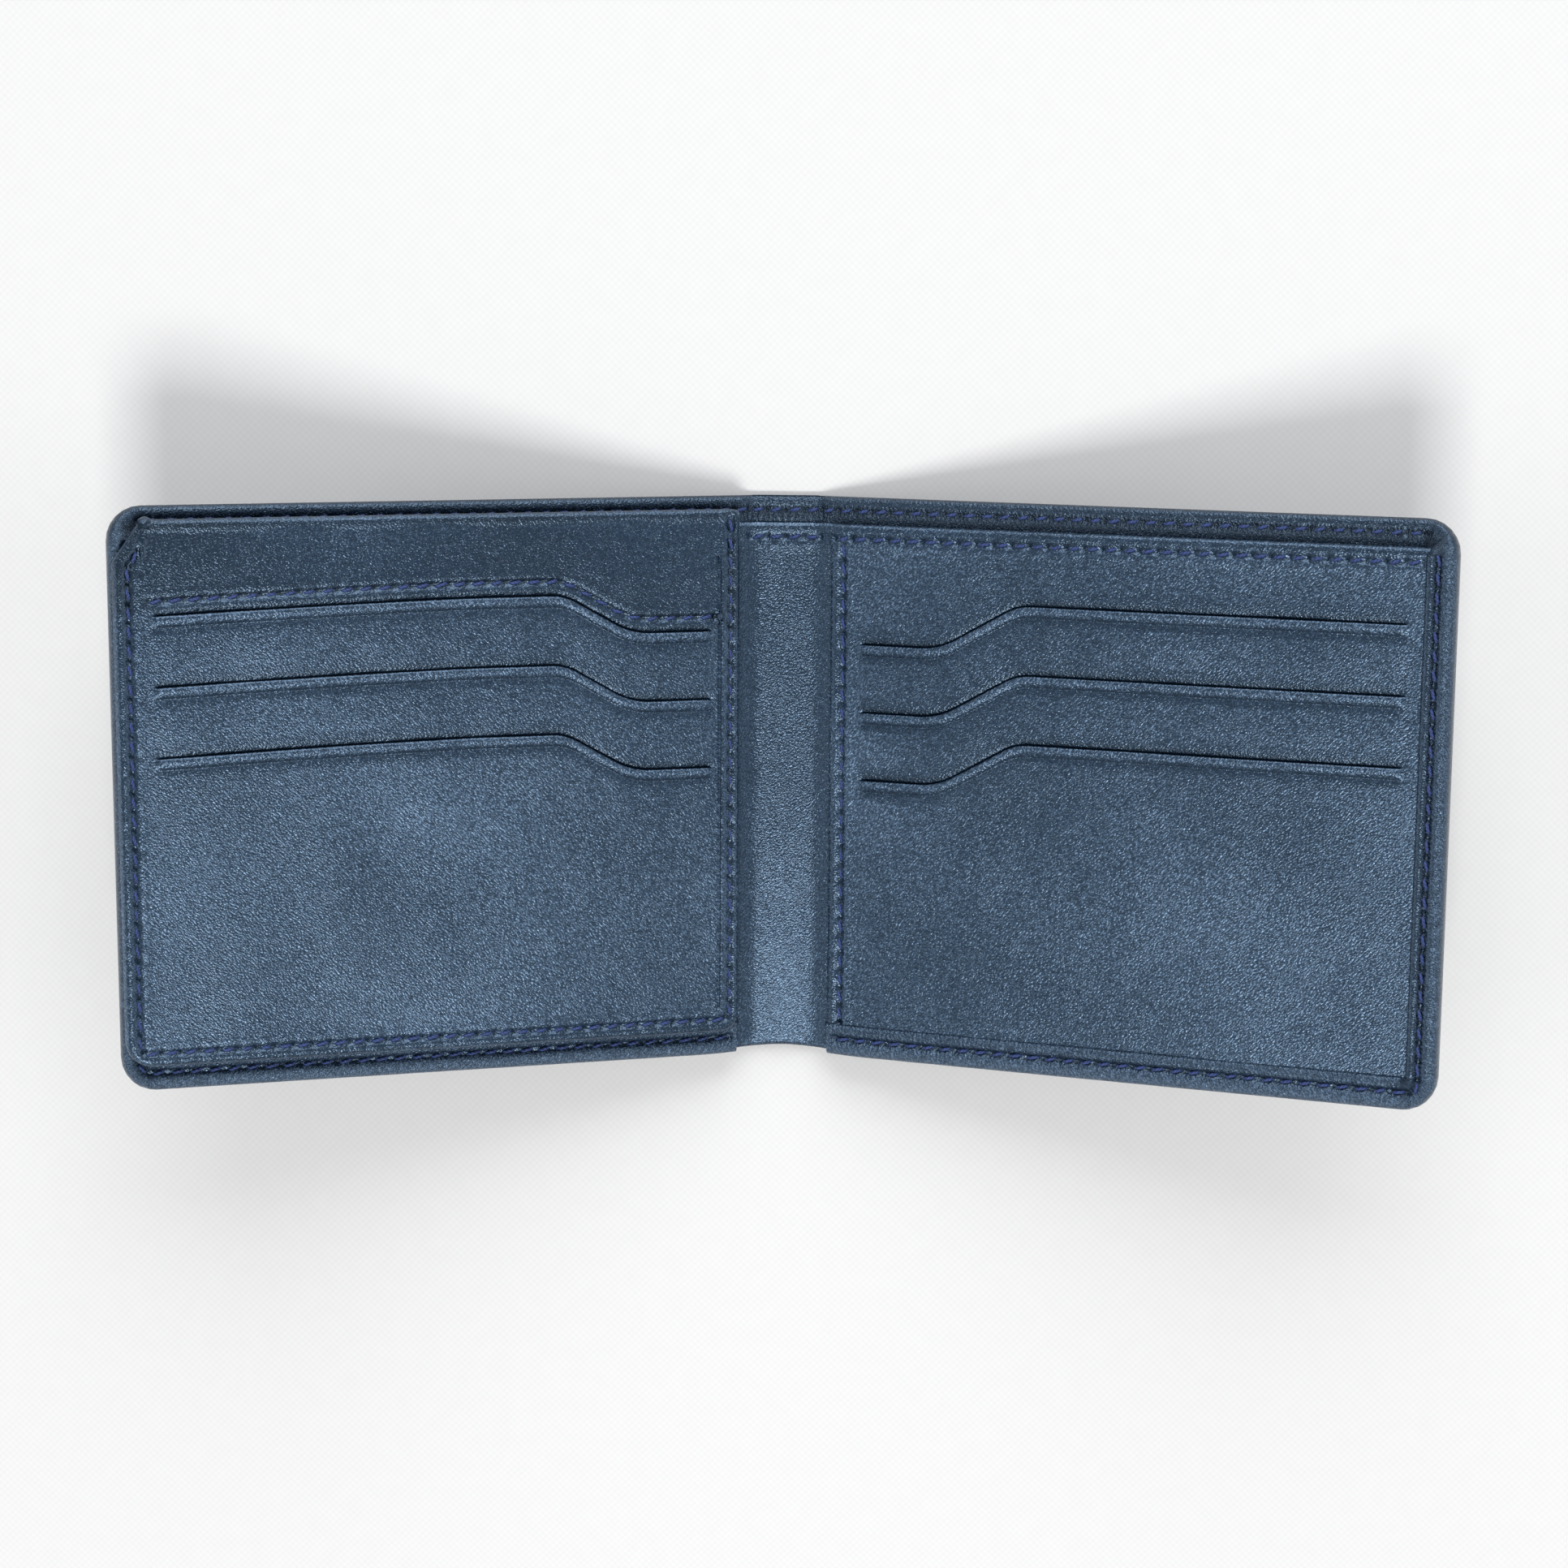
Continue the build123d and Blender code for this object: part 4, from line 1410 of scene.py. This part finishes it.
@dataclass
class CoverSkin:
    """Half of the outer cover: its face, and the edge that is turned over and sewn down inside."""

    leaf: Leaf
    size: tuple[float, float]
    seam: Seam
    top_seam: Seam
    border_start: float
    corner_radius: float = 5.5
    inset: float = 5.6
    step: float = 0.44
    corner_points: int = 40
    per_span: int = 2
    drawn_in: float = 0.9
    thickness: float = 0.55

    def pull(self, u: Array, y: Array) -> Array:
        """How far the bottom edge is drawn up at the spine."""
        return drawn_up(u, y, self.leaf, self.drawn_in)

    def sleeve(self) -> tuple[Patch, Array]:
        """The edge of the cover, from the outer face round to the turned border, and its inner loop.

        Returns:
            The patch and the loop, anticlockwise.
        """
        length, half = self.size
        us = spaced(self.leaf.middle, length - self.inset, self.step, [(self.border_start, 0.25, 0.09)])
        ys = spaced(-half + self.inset, half - self.inset, self.step)
        count = self.corner_points
        corner = Corner(self.corner_radius)
        outline = Outline((self.leaf.middle, -half), (length, half), (corner,) * 4)
        core = box_loop(us, ys, count, closed=False)
        rim = outline.loop(us, ys, count, closed=False)
        shares = side_shares(us, ys, count, closed=False)
        started = ease((us - self.border_start + 0.12) / 0.24)
        shares[:len(us), 3] = 1 - started
        shares[:len(us), 0] = started
        profiles = [smooth_line(edge.value, self.per_span) for edge in
                    (CoverEdge.BOTTOM, CoverEdge.SIDE, CoverEdge.TOP, CoverEdge.SPINE)]
        points, leather = rim_points(core, rim, shares, profiles, 1)
        u, y, h = np.moveaxis(points, -1, 0)
        rows = len(h)
        turn = 2 + 6 * self.per_span
        inner = (np.arange(rows) > turn)[:, None]
        self.shape_corners(points, turn, len(us), len(ys))
        lower = np.where(y > 0, 1 - 0.3 * ease((1.5 - u) / 2.5), 1.0)
        points[..., 2] *= np.where(inner, lower, 1.0)
        pressed = self.seam.relief(u, y) * (shares[:, 3] < 0.5)
        points[..., 2] += np.where(inner, -pressed, pressed * (u > self.border_start))
        points[..., 2] += np.where(inner, -1, 1) * self.top_seam.relief(u, y)
        points[..., 2] += np.where(inner, 0.05 * Wander(31, 3, 9).at(u, y) * (h > 2), 0)
        points[..., 1] += self.pull(points[..., 0], points[..., 1])
        wear_and_light = self.wear_and_light_map(u, y, inner, shares[:, 3] < 0.5)
        loop = np.vstack([points[0, :, :2], self.middle_line(points[0, -1, 1], points[0, 0, 1])])
        step = np.linalg.norm(loop - np.roll(loop, 1, axis=0), axis=1)
        return Patch(points, leather, grid_faces(*u.shape), wear_and_light), loop[step > 1e-4]

    def wear_and_light_map(self, u: Array, y: Array, inner: Array, bordered: Array) -> Array:
        """Wear and painted light on the cover's edge: a painted highlight on its roll and on the bottom
        border, painted shade along the top edge and where the edge turns under, and dirt and painted shade
        along the seams.

        Args:
            u: places outward, row by row round the edge.
            y: places up the wallet.
            inner: whether each row is on the inside.
            bordered: whether each column has the turned border.

        Returns:
            1 where a painted highlight makes it bright, 0 where it is plain and -1 where painted shade and
            dirt make it dark.
        """
        half = self.size[1]
        place = np.arange(len(u))[:, None] / len(u)
        # Painted highlight on the bottom border, which faces the light
        bottom_border_highlight = 0.4 * inner * bordered * (y < 6 - half)
        # Dirt and painted shade in the seam grooves, painted shade along the top edge and where the edge
        # turns under
        dirt_and_painted_shade = 0.9 * bell(self.seam.near(u, y)[0], 0.5) * (u > self.border_start)
        dirt_and_painted_shade = dirt_and_painted_shade + 0.6 * bell(self.top_seam.near(u, y)[0], 0.5) + 0.6 * ease((y - half + 6) / 3)
        dirt_and_painted_shade = dirt_and_painted_shade + 0.9 * inner * ease((place - 0.93) / 0.05)
        # Painted highlight on the roll of the edge
        return 0.5 * bell(place - 0.5, 0.09) + bottom_border_highlight - dirt_and_painted_shade

    def shape_corners(self, points: Array, turn: int, across: int, up: int) -> None:
        """Press overlapping pleats into the turned leather at the two outer corners.

        Args:
            points: the edge's points, which are changed in place.
            turn: row at which the edge turns inward.
            across: points along the bottom.
            up: points along the side.
        """
        rows = points.shape[0]
        for first, pleats, depth in ((across, 4, 0.34), (across + self.corner_points + up, 4, 0.4)):
            columns = np.arange(first - 6, first + self.corner_points + 6)
            share = (columns - first + 6) / (self.corner_points + 12)
            saw = (share * pleats) % 1.0
            lap = np.where(saw < 0.8, saw / 0.8, (1 - saw) / 0.2) - 0.5
            fade = np.sin(math.pi * np.clip(share, 0, 1)) ** 0.5
            place = (np.arange(rows) - turn) / (rows - turn)
            reach = ease(place / 0.12) * ease((1.0 - place) / 0.1)
            points[:, columns, 2] += depth * reach[:, None] * (lap * fade)[None, :]

    def middle_line(self, start: float, end: float) -> Array:
        """Points down the middle of the spine, between the two ends of the edge."""
        ys = np.linspace(start, end, 30)[1:-1]
        return np.stack([np.full(len(ys), self.leaf.middle), ys], axis=-1)

    def face(self, loop: Array) -> Patch:
        """The cover's outer face.

        Args:
            loop: the edge's inner loop.

        Returns:
            The patch.
        """
        low, high = loop.min(0) + 0.8, loop.max(0) - 0.8
        bend = [(u, y) for u in np.arange(self.leaf.middle + 0.5, 3.6, 0.5)
                for y in np.arange(low[1], high[1], 2.5)]
        wide = scattered((4.4, low[1]), tuple(high), 3.0)
        place, triangles = fill(loop, None, np.vstack([bend, wide]))
        points = np.column_stack([place, np.zeros(len(place))])
        leather = np.column_stack([place, np.zeros(len(place))])
        return Patch(points, leather, [tuple(t[::-1]) for t in triangles.tolist()])

    def build(self, finishes: Finishes) -> bpy.types.Object:
        """Make this half of the cover in place of its CAD nodes.

        Args:
            finishes: the wallet's materials.

        Returns:
            The cover skin.
        """
        side = "right" if self.leaf.side > 0 else "left"
        sleeve, loop = self.sleeve()
        piece = make_mesh(f"cover_skin_{side}", self.leaf, [sleeve, self.face(loop)])
        thicken(piece, self.thickness)
        self.leaf.bend_between(piece)
        names = ("cover", "cover_top_edge", "edge_wall_side", "edge_wall_bottom", "turned_edge_side",
                 "turned_edge_bottom")
        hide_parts("cover_spine", "cover_top_edge_spine", *(f"{name}_{side}" for name in names))
        return give(piece, finishes.cover, "cover_leather")


def drawn_up(u: Array, y: Array, leaf: Leaf, amount: float) -> Array:
    """How far leather near the bottom edge is drawn up where it crosses the spine."""
    from_middle = np.abs(u - leaf.middle)
    return amount * bell(from_middle, 7.5) * ease((-30 - y) / 14)


# ---- Sheets that cross the crease ----------------------------------------------------------------
@dataclass
class FoldedSheet:
    """A sheet that runs from the middle of the spine out into one half, between the other layers."""

    leaf: Leaf
    name: str
    end: float
    low: float
    high: float
    level: float
    spine_level: float
    thickness: float
    seam: Seam | None = None
    drawn_in: float = 0.9
    waver: float = 0.0
    # Strength of the painted sheen on the lower part of the spine
    spine_sheen: float = 0.0

    def build(self, material: bpy.types.Material, slot: str, *nodes: str) -> bpy.types.Object:
        """Make the sheet in place of its CAD nodes.

        Args:
            material: its material.
            slot: its slot in the record.
            *nodes: the CAD nodes that it replaces.

        Returns:
            The sheet.
        """
        near = [(self.high - 2.3, 1.6, 0.24), (self.high, 0.6, 0.1), (self.low, 0.4, 0.12)]
        ys = spaced(self.low, self.high, 1.0, near)
        us = np.concatenate([np.arange(self.leaf.middle, 4.0, 0.32), spaced(4.2, self.end, 4.0)])
        u, y = np.meshgrid(us, ys)
        rise = ease((u + 2.5) / 4.5)
        h = self.spine_level + (self.level - self.spine_level) * rise
        shown = 1 - ease((u - 2.0) / 1.0)
        if self.seam is not None:
            h = h - self.seam.relief(u, y) * shown
        edge = 0.3 * bell(y - self.high, 0.3) + 0.25 * bell(y - self.low, 0.35)
        h = h - edge * shown + self.waver * shown * Wander(77, 3, 16).at(u, y * 0.35)
        points = np.stack([u, y + drawn_up(u, y, self.leaf, self.drawn_in), h], axis=-1)
        leather = np.stack([u * self.leaf.side, y, 0 * y], axis=-1)
        # Painted highlights along the folded top and bottom edges, and a painted sheen on the lower part of
        # the spine
        wear_and_light = bell(y - self.high + 0.1, 0.35) * 0.6 + bell(y - self.low - 0.2, 0.4) * 0.5
        wear_and_light = wear_and_light + self.spine_sheen * ease((4 - y) / 50) * bell(u - self.leaf.middle, 6.0)
        piece = make_mesh(self.name, self.leaf, [Patch(points, leather, grid_faces(*u.shape), wear_and_light)])
        thicken(piece, self.thickness)
        self.leaf.bend_between(piece)
        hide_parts(*nodes)
        return give(piece, material, slot)


# ---- The two halves ------------------------------------------------------------------------------
@dataclass
class Half:
    """One half of the wallet: cover, linings, liner, slotted panel and their seams."""

    leaf: Leaf
    has_flap: bool
    seam_side: float = 3.0
    seam_bottom: float = 3.1
    seam_inset: float = 2.3
    seam_corner: float = 1.3
    first_slot: float = 12.0
    slot_step: float = 7.6
    tuck: float = 0.9
    corner: float = 4.0
    sunk: float = 0.18
    lining_inset: tuple[float, float] = (0.4, 0.5)

    def __post_init__(self) -> None:
        """Read this half's sizes from the frame."""
        self.side = "right" if self.leaf.side > 0 else "left"
        self.length, self.half_height = self.leaf.box(f"cover_{self.side}")[1][:2]
        panel_low, panel_high = self.leaf.box(f"card_facing_{self.side}")
        self.inner, self.inner_top = panel_low[0], panel_high[1]
        self.face = panel_high[2]
        self.inner_end, self.inner_bottom = panel_high[0], panel_low[1]
        self.border_top = self.leaf.box(f"turned_edge_side_{self.side}")[1][2]
        self.band_top = self.leaf.box(f"cover_top_edge_{self.side}")[1][2]
        self.border_inner = self.leaf.box(f"turned_edge_side_{self.side}")[0][0]
        self.border_low = self.leaf.box(f"turned_edge_bottom_{self.side}")[1][1]

    def tops(self, half_node: str, spine_node: str) -> Levels:
        """Top of a layer on this half and on the spine."""
        return self.leaf.box(half_node)[1][2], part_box(spine_node)[1].z / MM

    def border_seam(self) -> Seam:
        """The seam along the bottom and up the outer side.

        Returns:
            The seam.
        """
        u, y = self.length - self.seam_side, self.seam_bottom - self.half_height
        line = rounded_line([(self.inner + 1.6, y), (u, y), (u, self.inner_top - 1.4)], self.seam_corner)
        return Seam(line, groove=0.34, groove_width=0.6, hole=0.4)

    def cover_top_seam(self) -> Seam:
        """The seam of the cover's own turned top edge, from the middle of the spine outward."""
        y = self.half_height - self.seam_inset
        return Seam(np.array([(self.leaf.middle + 0.05, y), (self.length - 5.0, y)]), groove=0.14, hole=0.3)

    def liner_top_seam(self) -> Seam:
        """The seam along the liner's top edge on the spine."""
        y = self.inner_top - self.seam_inset
        return Seam(np.array([(self.leaf.middle + 0.05, y), (self.inner, y)]), groove=0.14)

    def panel_top_seam(self) -> Seam:
        """The seam along the panel's top edge."""
        y = self.inner_top - self.seam_inset
        return Seam(np.array([(self.inner + 0.7, y), (self.border_inner - 0.6, y)]))

    def panel_side_seam(self) -> Seam:
        """The seam up the panel's inner edge.

        Returns:
            The seam.
        """
        u = self.inner + self.seam_inset
        top = self.leaf.box(f"thread_panel_side_{self.side}")[1][1]
        return Seam(np.array([(u, self.border_low + 0.4), (u, top)]))

    def build_cover(self, finishes: Finishes) -> None:
        """Make the cover, and the lining and liner behind and before the bill compartment.

        Args:
            finishes: the wallet's materials.
        """
        size, border_start = (self.length, self.half_height), self.inner + 0.15
        CoverSkin(self.leaf, size, self.border_seam(), self.cover_top_seam(), border_start).build(finishes)
        end = self.inner_end - self.corner
        low, high = self.inner_bottom + self.lining_inset[0], self.inner_top - self.lining_inset[1]
        nodes = (f"cover_lining_{self.side}", "cover_lining_spine")
        sheet = FoldedSheet(self.leaf, f"bill_lining_{self.side}", end, low, high, *self.tops(*nodes), 0.15)
        cloth = sheet.build(finishes.lining_built, "lining_fabric", *nodes)
        (end - self.leaf.middle) * MM
        (high - low) * MM
        nodes = (f"liner_{self.side}", "liner_spine")
        sheet = FoldedSheet(self.leaf, f"liner_skin_{self.side}", end, self.inner_bottom, self.inner_top,
                            *self.tops(*nodes), 0.42, self.liner_top_seam(), waver=0.05, spine_sheen=0.55)
        sheet.build(finishes.inner, "inner_leather", *nodes)

    def build_panel(self, finishes: Finishes) -> None:
        """Make the slotted card panel.

        Args:
            finishes: the wallet's materials.
        """
        low = (self.inner, self.inner_bottom + self.tuck)
        high = (self.inner_end - self.tuck, self.inner_top)
        corners = (Corner(0.5), Corner(self.corner), Corner(0.5), Corner(0.9))
        edges = (Edge.TUCKED, Edge.TUCKED, Edge.TURNED, Edge.TURNED)
        slots = CardSlots(self.inner_top - self.first_slot, self.slot_step)
        panel = SlottedPanel(self.leaf, f"card_panel_{self.side}", Outline(low, high, corners), edges, slots,
                             self.face, [self.panel_top_seam(), self.panel_side_seam()], 11 + self.leaf.side)
        panel.build(finishes, f"card_facing_{self.side}", self.leaf.name)

    def sew(self, name: str, runs: list[tuple[Seam, Levels, int]], finishes: Finishes,
            spine_nodes: tuple[str, ...] = ()) -> None:
        """Sew one piece of this half's stitches.

        Args:
            name: the seam's name.
            runs: its runs, as SewnSeams takes them.
            finishes: the wallet's materials.
            spine_nodes: the CAD nodes of a seam that goes on over the crease and along the spine.
        """
        nodes = spine_nodes or (f"thread_{name}_{self.side}",)
        piece = SewnSeams(self.leaf, f"stitches_{name}_{self.side}", nodes).build(runs, finishes)
        if spine_nodes:
            self.leaf.bend_between(piece)
        else:
            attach(piece, self.leaf.name)

    def build_seams(self, finishes: Finishes) -> None:
        """Sew every seam of this half.

        Args:
            finishes: the wallet's materials.
        """
        border, cover_top, liner_top = self.border_seam(), self.cover_top_seam(), self.liner_top_seam()
        self.sew("border", [(border, (self.border_top - 0.3,) * 2, 1), (border, (0.16, 0.16), -1)], finishes)
        bands = (0.7 * self.band_top - 0.25, self.band_top - 0.25)
        self.sew("cover_top", [(cover_top, bands, 1), (cover_top, (0.12, 0.12), -1)], finishes,
                 (f"thread_cover_top_{self.side}", "thread_cover_top_spine"))
        spine_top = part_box("liner_spine")[1].z / MM - 0.02
        self.sew("liner_top", [(liner_top, (spine_top,) * 2, 1)], finishes, ("thread_liner_top_spine",))
        level = self.border_top if self.has_flap else self.face
        self.sew("panel_top", [(self.panel_top_seam(), (level - self.sunk,) * 2, 1)], finishes)
        self.sew("panel_side", [(self.panel_side_seam(), (self.face - self.sunk,) * 2, 1)], finishes)

    def dress_hidden(self, finishes: Finishes) -> None:
        """Give the sewn-in layers that keep their CAD shape their materials.

        Args:
            finishes: the wallet's materials.
        """
        give(frame["nodes"][f"stiffener_{self.side}"], finishes.board, "stiffener_board")
        for row in (1, 2, 3):
            give(frame["nodes"][f"pocket_lining_{row}_{self.side}"], finishes.lining, "lining_fabric")

    def build(self, finishes: Finishes) -> None:
        """Make every piece of this half.

        Args:
            finishes: the wallet's materials.
        """
        self.build_cover(finishes)
        self.build_panel(finishes)
        self.build_seams(finishes)
        self.dress_hidden(finishes)


# ---- The flap ------------------------------------------------------------------------------------
@dataclass
class Flap:
    """The flip-up card flap: slotted face, back frame with its window, hinge leather and seams."""

    leaf: Leaf
    cut_u: float = 4.6
    cut_y: float = 6.5
    seam_inset: float = 2.3
    inner_seam_inset: float = 1.6
    first_slot: float = 13.4
    slot_step: float = 6.4
    wave_seam: float = 2.3
    window: tuple[float, float] = (80.0, 50.0)

    def __post_init__(self) -> None:
        """Read the flap's sizes from the frame."""
        low, high = self.leaf.box("flap_facing")
        self.low, self.high = (low[0], low[1]), (high[0], high[1])
        self.face = high[2]
        self.back = self.leaf.box("flap_back_frame")[0][2]
        self.strip_low = self.leaf.box("hinge_strip_left")[0][1]
        self.strip_top = self.leaf.box("hinge_strip_left")[1][2]
        self.strip_end = self.leaf.box("hinge_strip_left")[1][0]
        self.hinge_top = self.leaf.box("hinge_strip_flap")[1][2]

    def outline(self, inset: float = 0.0) -> Outline:
        """The flap's outline, or one a little inside it.

        Args:
            inset: millimetres inside the flap's own edge.

        Returns:
            The outline.
        """
        corners = (Corner(3.0), Corner(4.5), Corner(2.6, self.cut_u, self.cut_y), Corner(1.3))
        low = (self.low[0] + inset, self.low[1] + inset)
        high = (self.high[0] - inset, self.high[1] - inset)
        return Outline(low, high, corners)

    def edge_seam(self) -> Seam:
        """The seam down the inner side, along the bottom and up the outer side.

        Returns:
            The seam.
        """
        inner = self.low[0] + self.inner_seam_inset
        outer = self.high[0] - self.seam_inset
        low = self.low[1] + self.seam_inset
        cut = self.high[1] - self.cut_y
        line = rounded_line([(inner, self.high[1] - 1.2), (inner, low), (outer, low), (outer, cut - 1.0),
                             (outer - 1.9, cut + 1.7)], 1.4)
        return Seam(line)

    def build_face(self, finishes: Finishes) -> SlottedPanel:
        """Make the slotted face with its rolled edges.

        Args:
            finishes: the wallet's materials.

        Returns:
            The panel, whose seams are still to be sewn.
        """
        edges = (Edge.ROLLED, Edge.ROLLED, Edge.FOLDED, Edge.ROLLED)
        slots = CardSlots(self.high[1] - self.first_slot, self.slot_step, end=98.2, droop=1.7)
        panel = SlottedPanel(self.leaf, "flap_face", self.outline(), edges, slots, self.face,
                             [self.edge_seam()], 41, self.wave_seam, inset=4.4, outer_inset=6.5,
                             top_inset=7.4, crown=0.3, top_fall=0.5, band_shade=0.42)
        panel.build(finishes, "flap_facing", "flap")
        return panel

    def build_back(self, finishes: Finishes) -> None:
        """Make the back frame round the window, which looks down until the flap is flipped.

        Args:
            finishes: the wallet's materials.
        """
        outer = self.outline(0.5)
        width, height = self.window
        middle = ((self.low[0] + self.high[0]) / 2, (self.low[1] + self.strip_low + 2.6) / 2)
        low = (middle[0] - width / 2, middle[1] - height / 2)
        high = (middle[0] + width / 2, middle[1] + height / 2)
        window = Outline(low, high, (Corner(3.0),) * 4)
        us = spaced(low[0] + 3.2, high[0] - 3.2, 0.8)
        ys = spaced(low[1] + 3.2, high[1] - 3.2, 0.8)
        outside, opening = outer.loop(us, ys, 14), window.loop(us, ys, 14)
        field_shares = spaced(0.04, 0.96, 0.05, [(0.15, 0.12, 0.02)])
        across = np.concatenate([[0.0, 0.0], field_shares, [0.985, 1.0, 1.0]])
        rise = np.array([0.42, 0.16] + [0.0] * (len(across) - 5) + [0.06, 0.2, 0.45])
        shift = np.array([-0.2, 0.0] + [0.0] * (len(across) - 3) + [0.06])
        place = outside[None] + (opening - outside)[None] * across[:, None, None]
        inward = (opening - outside) / np.linalg.norm(opening - outside, axis=1)[:, None]
        place = place - inward[None] * shift[:, None, None]
        u, y = place[..., 0], place[..., 1]
        to_window = np.linalg.norm(place - opening[None], axis=-1)
        h = self.back + rise[:, None] + self.edge_seam().relief(u, y) + 0.1 * bell(to_window - 2.2, 0.4)
        h = h - 0.03 * Wander(58, 5, 20).at(u, y)
        points = np.stack([u, y, h], axis=-1)
        leather = np.stack([u, y, 0 * u], axis=-1)
        wear_and_light = bell(to_window, 0.8) * 0.5
        faces = grid_faces(*u.shape, closed=True)
        piece = make_mesh("flap_back", self.leaf, [Patch(points, leather, faces, wear_and_light)])
        thicken(piece, 0.3)
        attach(piece, "flap")
        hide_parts("flap_back_frame")
        give(piece, finishes.inner, "inner_leather")

    def build_hinge(self, finishes: Finishes) -> None:
        """Make the hinge leather, sewn to the panel below and held inside the flap above.

        Args:
            finishes: the wallet's materials.
        """
        fold = self.high[1]
        lay, held = self.strip_top - 0.05, self.hinge_top - 0.2
        path = smooth_line([
            (self.strip_low, lay - 0.25), (self.strip_low + 0.35, lay), (39.0, lay), (fold - 2.7, lay),
            (fold - 1.3, lay + 0.1), (fold - 0.62, lay + 0.55), (fold - 0.62, held - 0.55),
            (fold - 1.3, held - 0.05), (fold - 3.2, held), (fold - 6.0, held)], 5)
        us = spaced(self.low[0], self.strip_end - 0.3, 0.8, [(self.low[0], 0.5, 0.2)])
        along = lengths(path)
        u, s = np.meshgrid(us, along)
        y, h = (np.broadcast_to(path[:, k][:, None], u.shape) for k in (0, 1))
        seam_y = fold - 2.6 - self.seam_inset
        on_panel = (s < along[-1] / 2)
        h = h - 0.12 * bell(y - seam_y, 0.5) * on_panel + 0.02 * Wander(91, 3, 9).at(u, s)
        points = np.stack([u, y, h], axis=-1)
        leather = np.stack([u, s, 0 * s], axis=-1)
        piece = make_mesh("hinge_leather", self.leaf, [Patch(points, leather, grid_faces(*u.shape))])
        thicken(piece, 0.32)
        ends = self.leaf.world(np.array([(50.0, fold - 1.0, lay - 0.02), (50.0, fold - 1.0, held - 0.3)]))
        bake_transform(piece)
        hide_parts("hinge_strip_left", "hinge_strip_flap")
        give(piece, finishes.inner, "inner_leather")

    def build(self, finishes: Finishes) -> None:
        """Make every piece of the flap.

        Args:
            finishes: the wallet's materials.
        """
        panel = self.build_face(finishes)
        self.build_back(finishes)
        self.build_hinge(finishes)
        edge = SewnSeams(self.leaf, "stitches_flap_edge", ("thread_flap_edge",))
        seam = self.edge_seam()
        piece = edge.build([(seam, (self.face - 0.2,) * 2, 1), (seam, (self.back + 0.2,) * 2, -1)], finishes)
        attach(piece, "flap")
        wave = SewnSeams(self.leaf, "stitches_flap_wave", ("thread_flap_wave",))
        piece = wave.build([(panel.all_seams()[-1], (self.face - 0.1,) * 2, 1)], finishes)
        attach(piece, "flap")
        give(frame["nodes"]["id_window_film"], finishes.film, "clear_film")
        for row in (1, 2, 3):
            give(frame["nodes"][f"flap_pocket_lining_{row}"], finishes.lining, "lining_fabric")


# ---- Light, floor and camera ---------------------------------------------------------------------
@dataclass(frozen=True)
class Lamp:
    """A soft square light that looks at the wallet, in metres and watts."""

    name: str
    place: tuple[float, float, float]
    size: float
    power: float
    colour: tuple[float, float, float] = (0.97, 0.98, 1.0)

    def build(self) -> None:
        """Hang the light."""
        lamp = bpy.data.lights.new(self.name, "AREA")
        lamp.energy, lamp.size, lamp.color = self.power, self.size, self.colour
        holder = bpy.data.objects.new(self.name, lamp)
        holder.location = self.place
        holder.rotation_euler = (-Vector(self.place)).to_track_quat("-Z", "Y").to_euler()
        bpy.context.scene.collection.objects.link(holder)


@dataclass(frozen=True)
class Studio:
    """A pale cloth floor, soft light from the wallet's bottom side, and the camera above it."""

    lens: float = 74.53
    camera_place: tuple[float, float, float] = (0.01854, 0.09278, 0.5353)
    camera_turn: tuple[float, float, float] = (-9.961, 2.053, 0.381)
    floor_size: float = 8.0
    weave: float = 5200.0
    lamps: tuple[Lamp, ...] = (
        Lamp("window", (0.02, -0.8, 1.25), 0.45, 14.8, (1.0, 0.99, 0.97)),
        Lamp("back_bounce", (0.1, 1.3, 0.75), 1.2, 22.0),
        Lamp("left_bounce", (-1.35, -0.1, 0.6), 1.0, 6.0),
        Lamp("right_bounce", (1.35, -0.1, 0.6), 1.0, 6.0),
    )

    def floor(self) -> None:
        """Add the floor."""
        mesh = bpy.data.meshes.new("floor")
        half = self.floor_size / 2
        mesh.from_pydata([(-half, -half, 0), (half, -half, 0), (half, half, 0), (-half, half, 0)], [],
                         [(0, 1, 2, 3)])
        ground = bpy.data.objects.new("floor", mesh)
        bpy.context.scene.collection.objects.link(ground)
        graph = Graph("pale_floor")
        world = graph.add("ShaderNodeTexCoord").out("Object")
        split = graph.add("ShaderNodeSeparateXYZ", {}, {"Vector": world})
        weave = (split.out("X") * self.weave).sine() * (split.out("Y") * self.weave).sine() * 0.5 + 0.5
        tone = graph.noise(world, 300.0, 2.0) * 0.4 + weave * 0.6
        colour = graph.mix(tone, (0.645, 0.645, 0.645, 1.0), (0.705, 0.705, 0.705, 1.0))
        mesh.materials.append(graph.finish(Base_Color=colour, Roughness=0.9))

    def build(self) -> None:
        """Set up the whole studio."""
        scene = bpy.context.scene
        scene.view_settings.view_transform = "Standard"
        world = bpy.data.worlds.new("soft_room")
        world.use_nodes = True
        sky = world.node_tree.nodes["Background"]
        sky.inputs["Color"].default_value = (0.97, 0.985, 1.0, 1.0)
        sky.inputs["Strength"].default_value = 0.28
        scene.world = world
        for lamp in self.lamps:
            lamp.build()
        self.floor()
        lens = bpy.data.cameras.new("camera")
        lens.lens, lens.sensor_width = self.lens, 36.0
        lens.clip_start, lens.clip_end = 0.01, 20.0
        camera = bpy.data.objects.new("camera", lens)
        camera.location = self.camera_place
        camera.rotation_euler = [math.radians(a) for a in self.camera_turn]
        scene.collection.objects.link(camera)
        scene.camera = camera


def main() -> None:
    """Build the studio, the finishes and the wallet."""
    logging.basicConfig(level=logging.INFO, format="%(name)s: %(message)s")
    Studio().build()
    finishes = Finishes()
    left, right = make_leaf("left_fold"), make_leaf("right_fold")
    Half(left, has_flap=True).build(finishes)
    Half(right, has_flap=False).build(finishes)
    Flap(left).build(finishes)


if __name__ == "__main__":
    main()
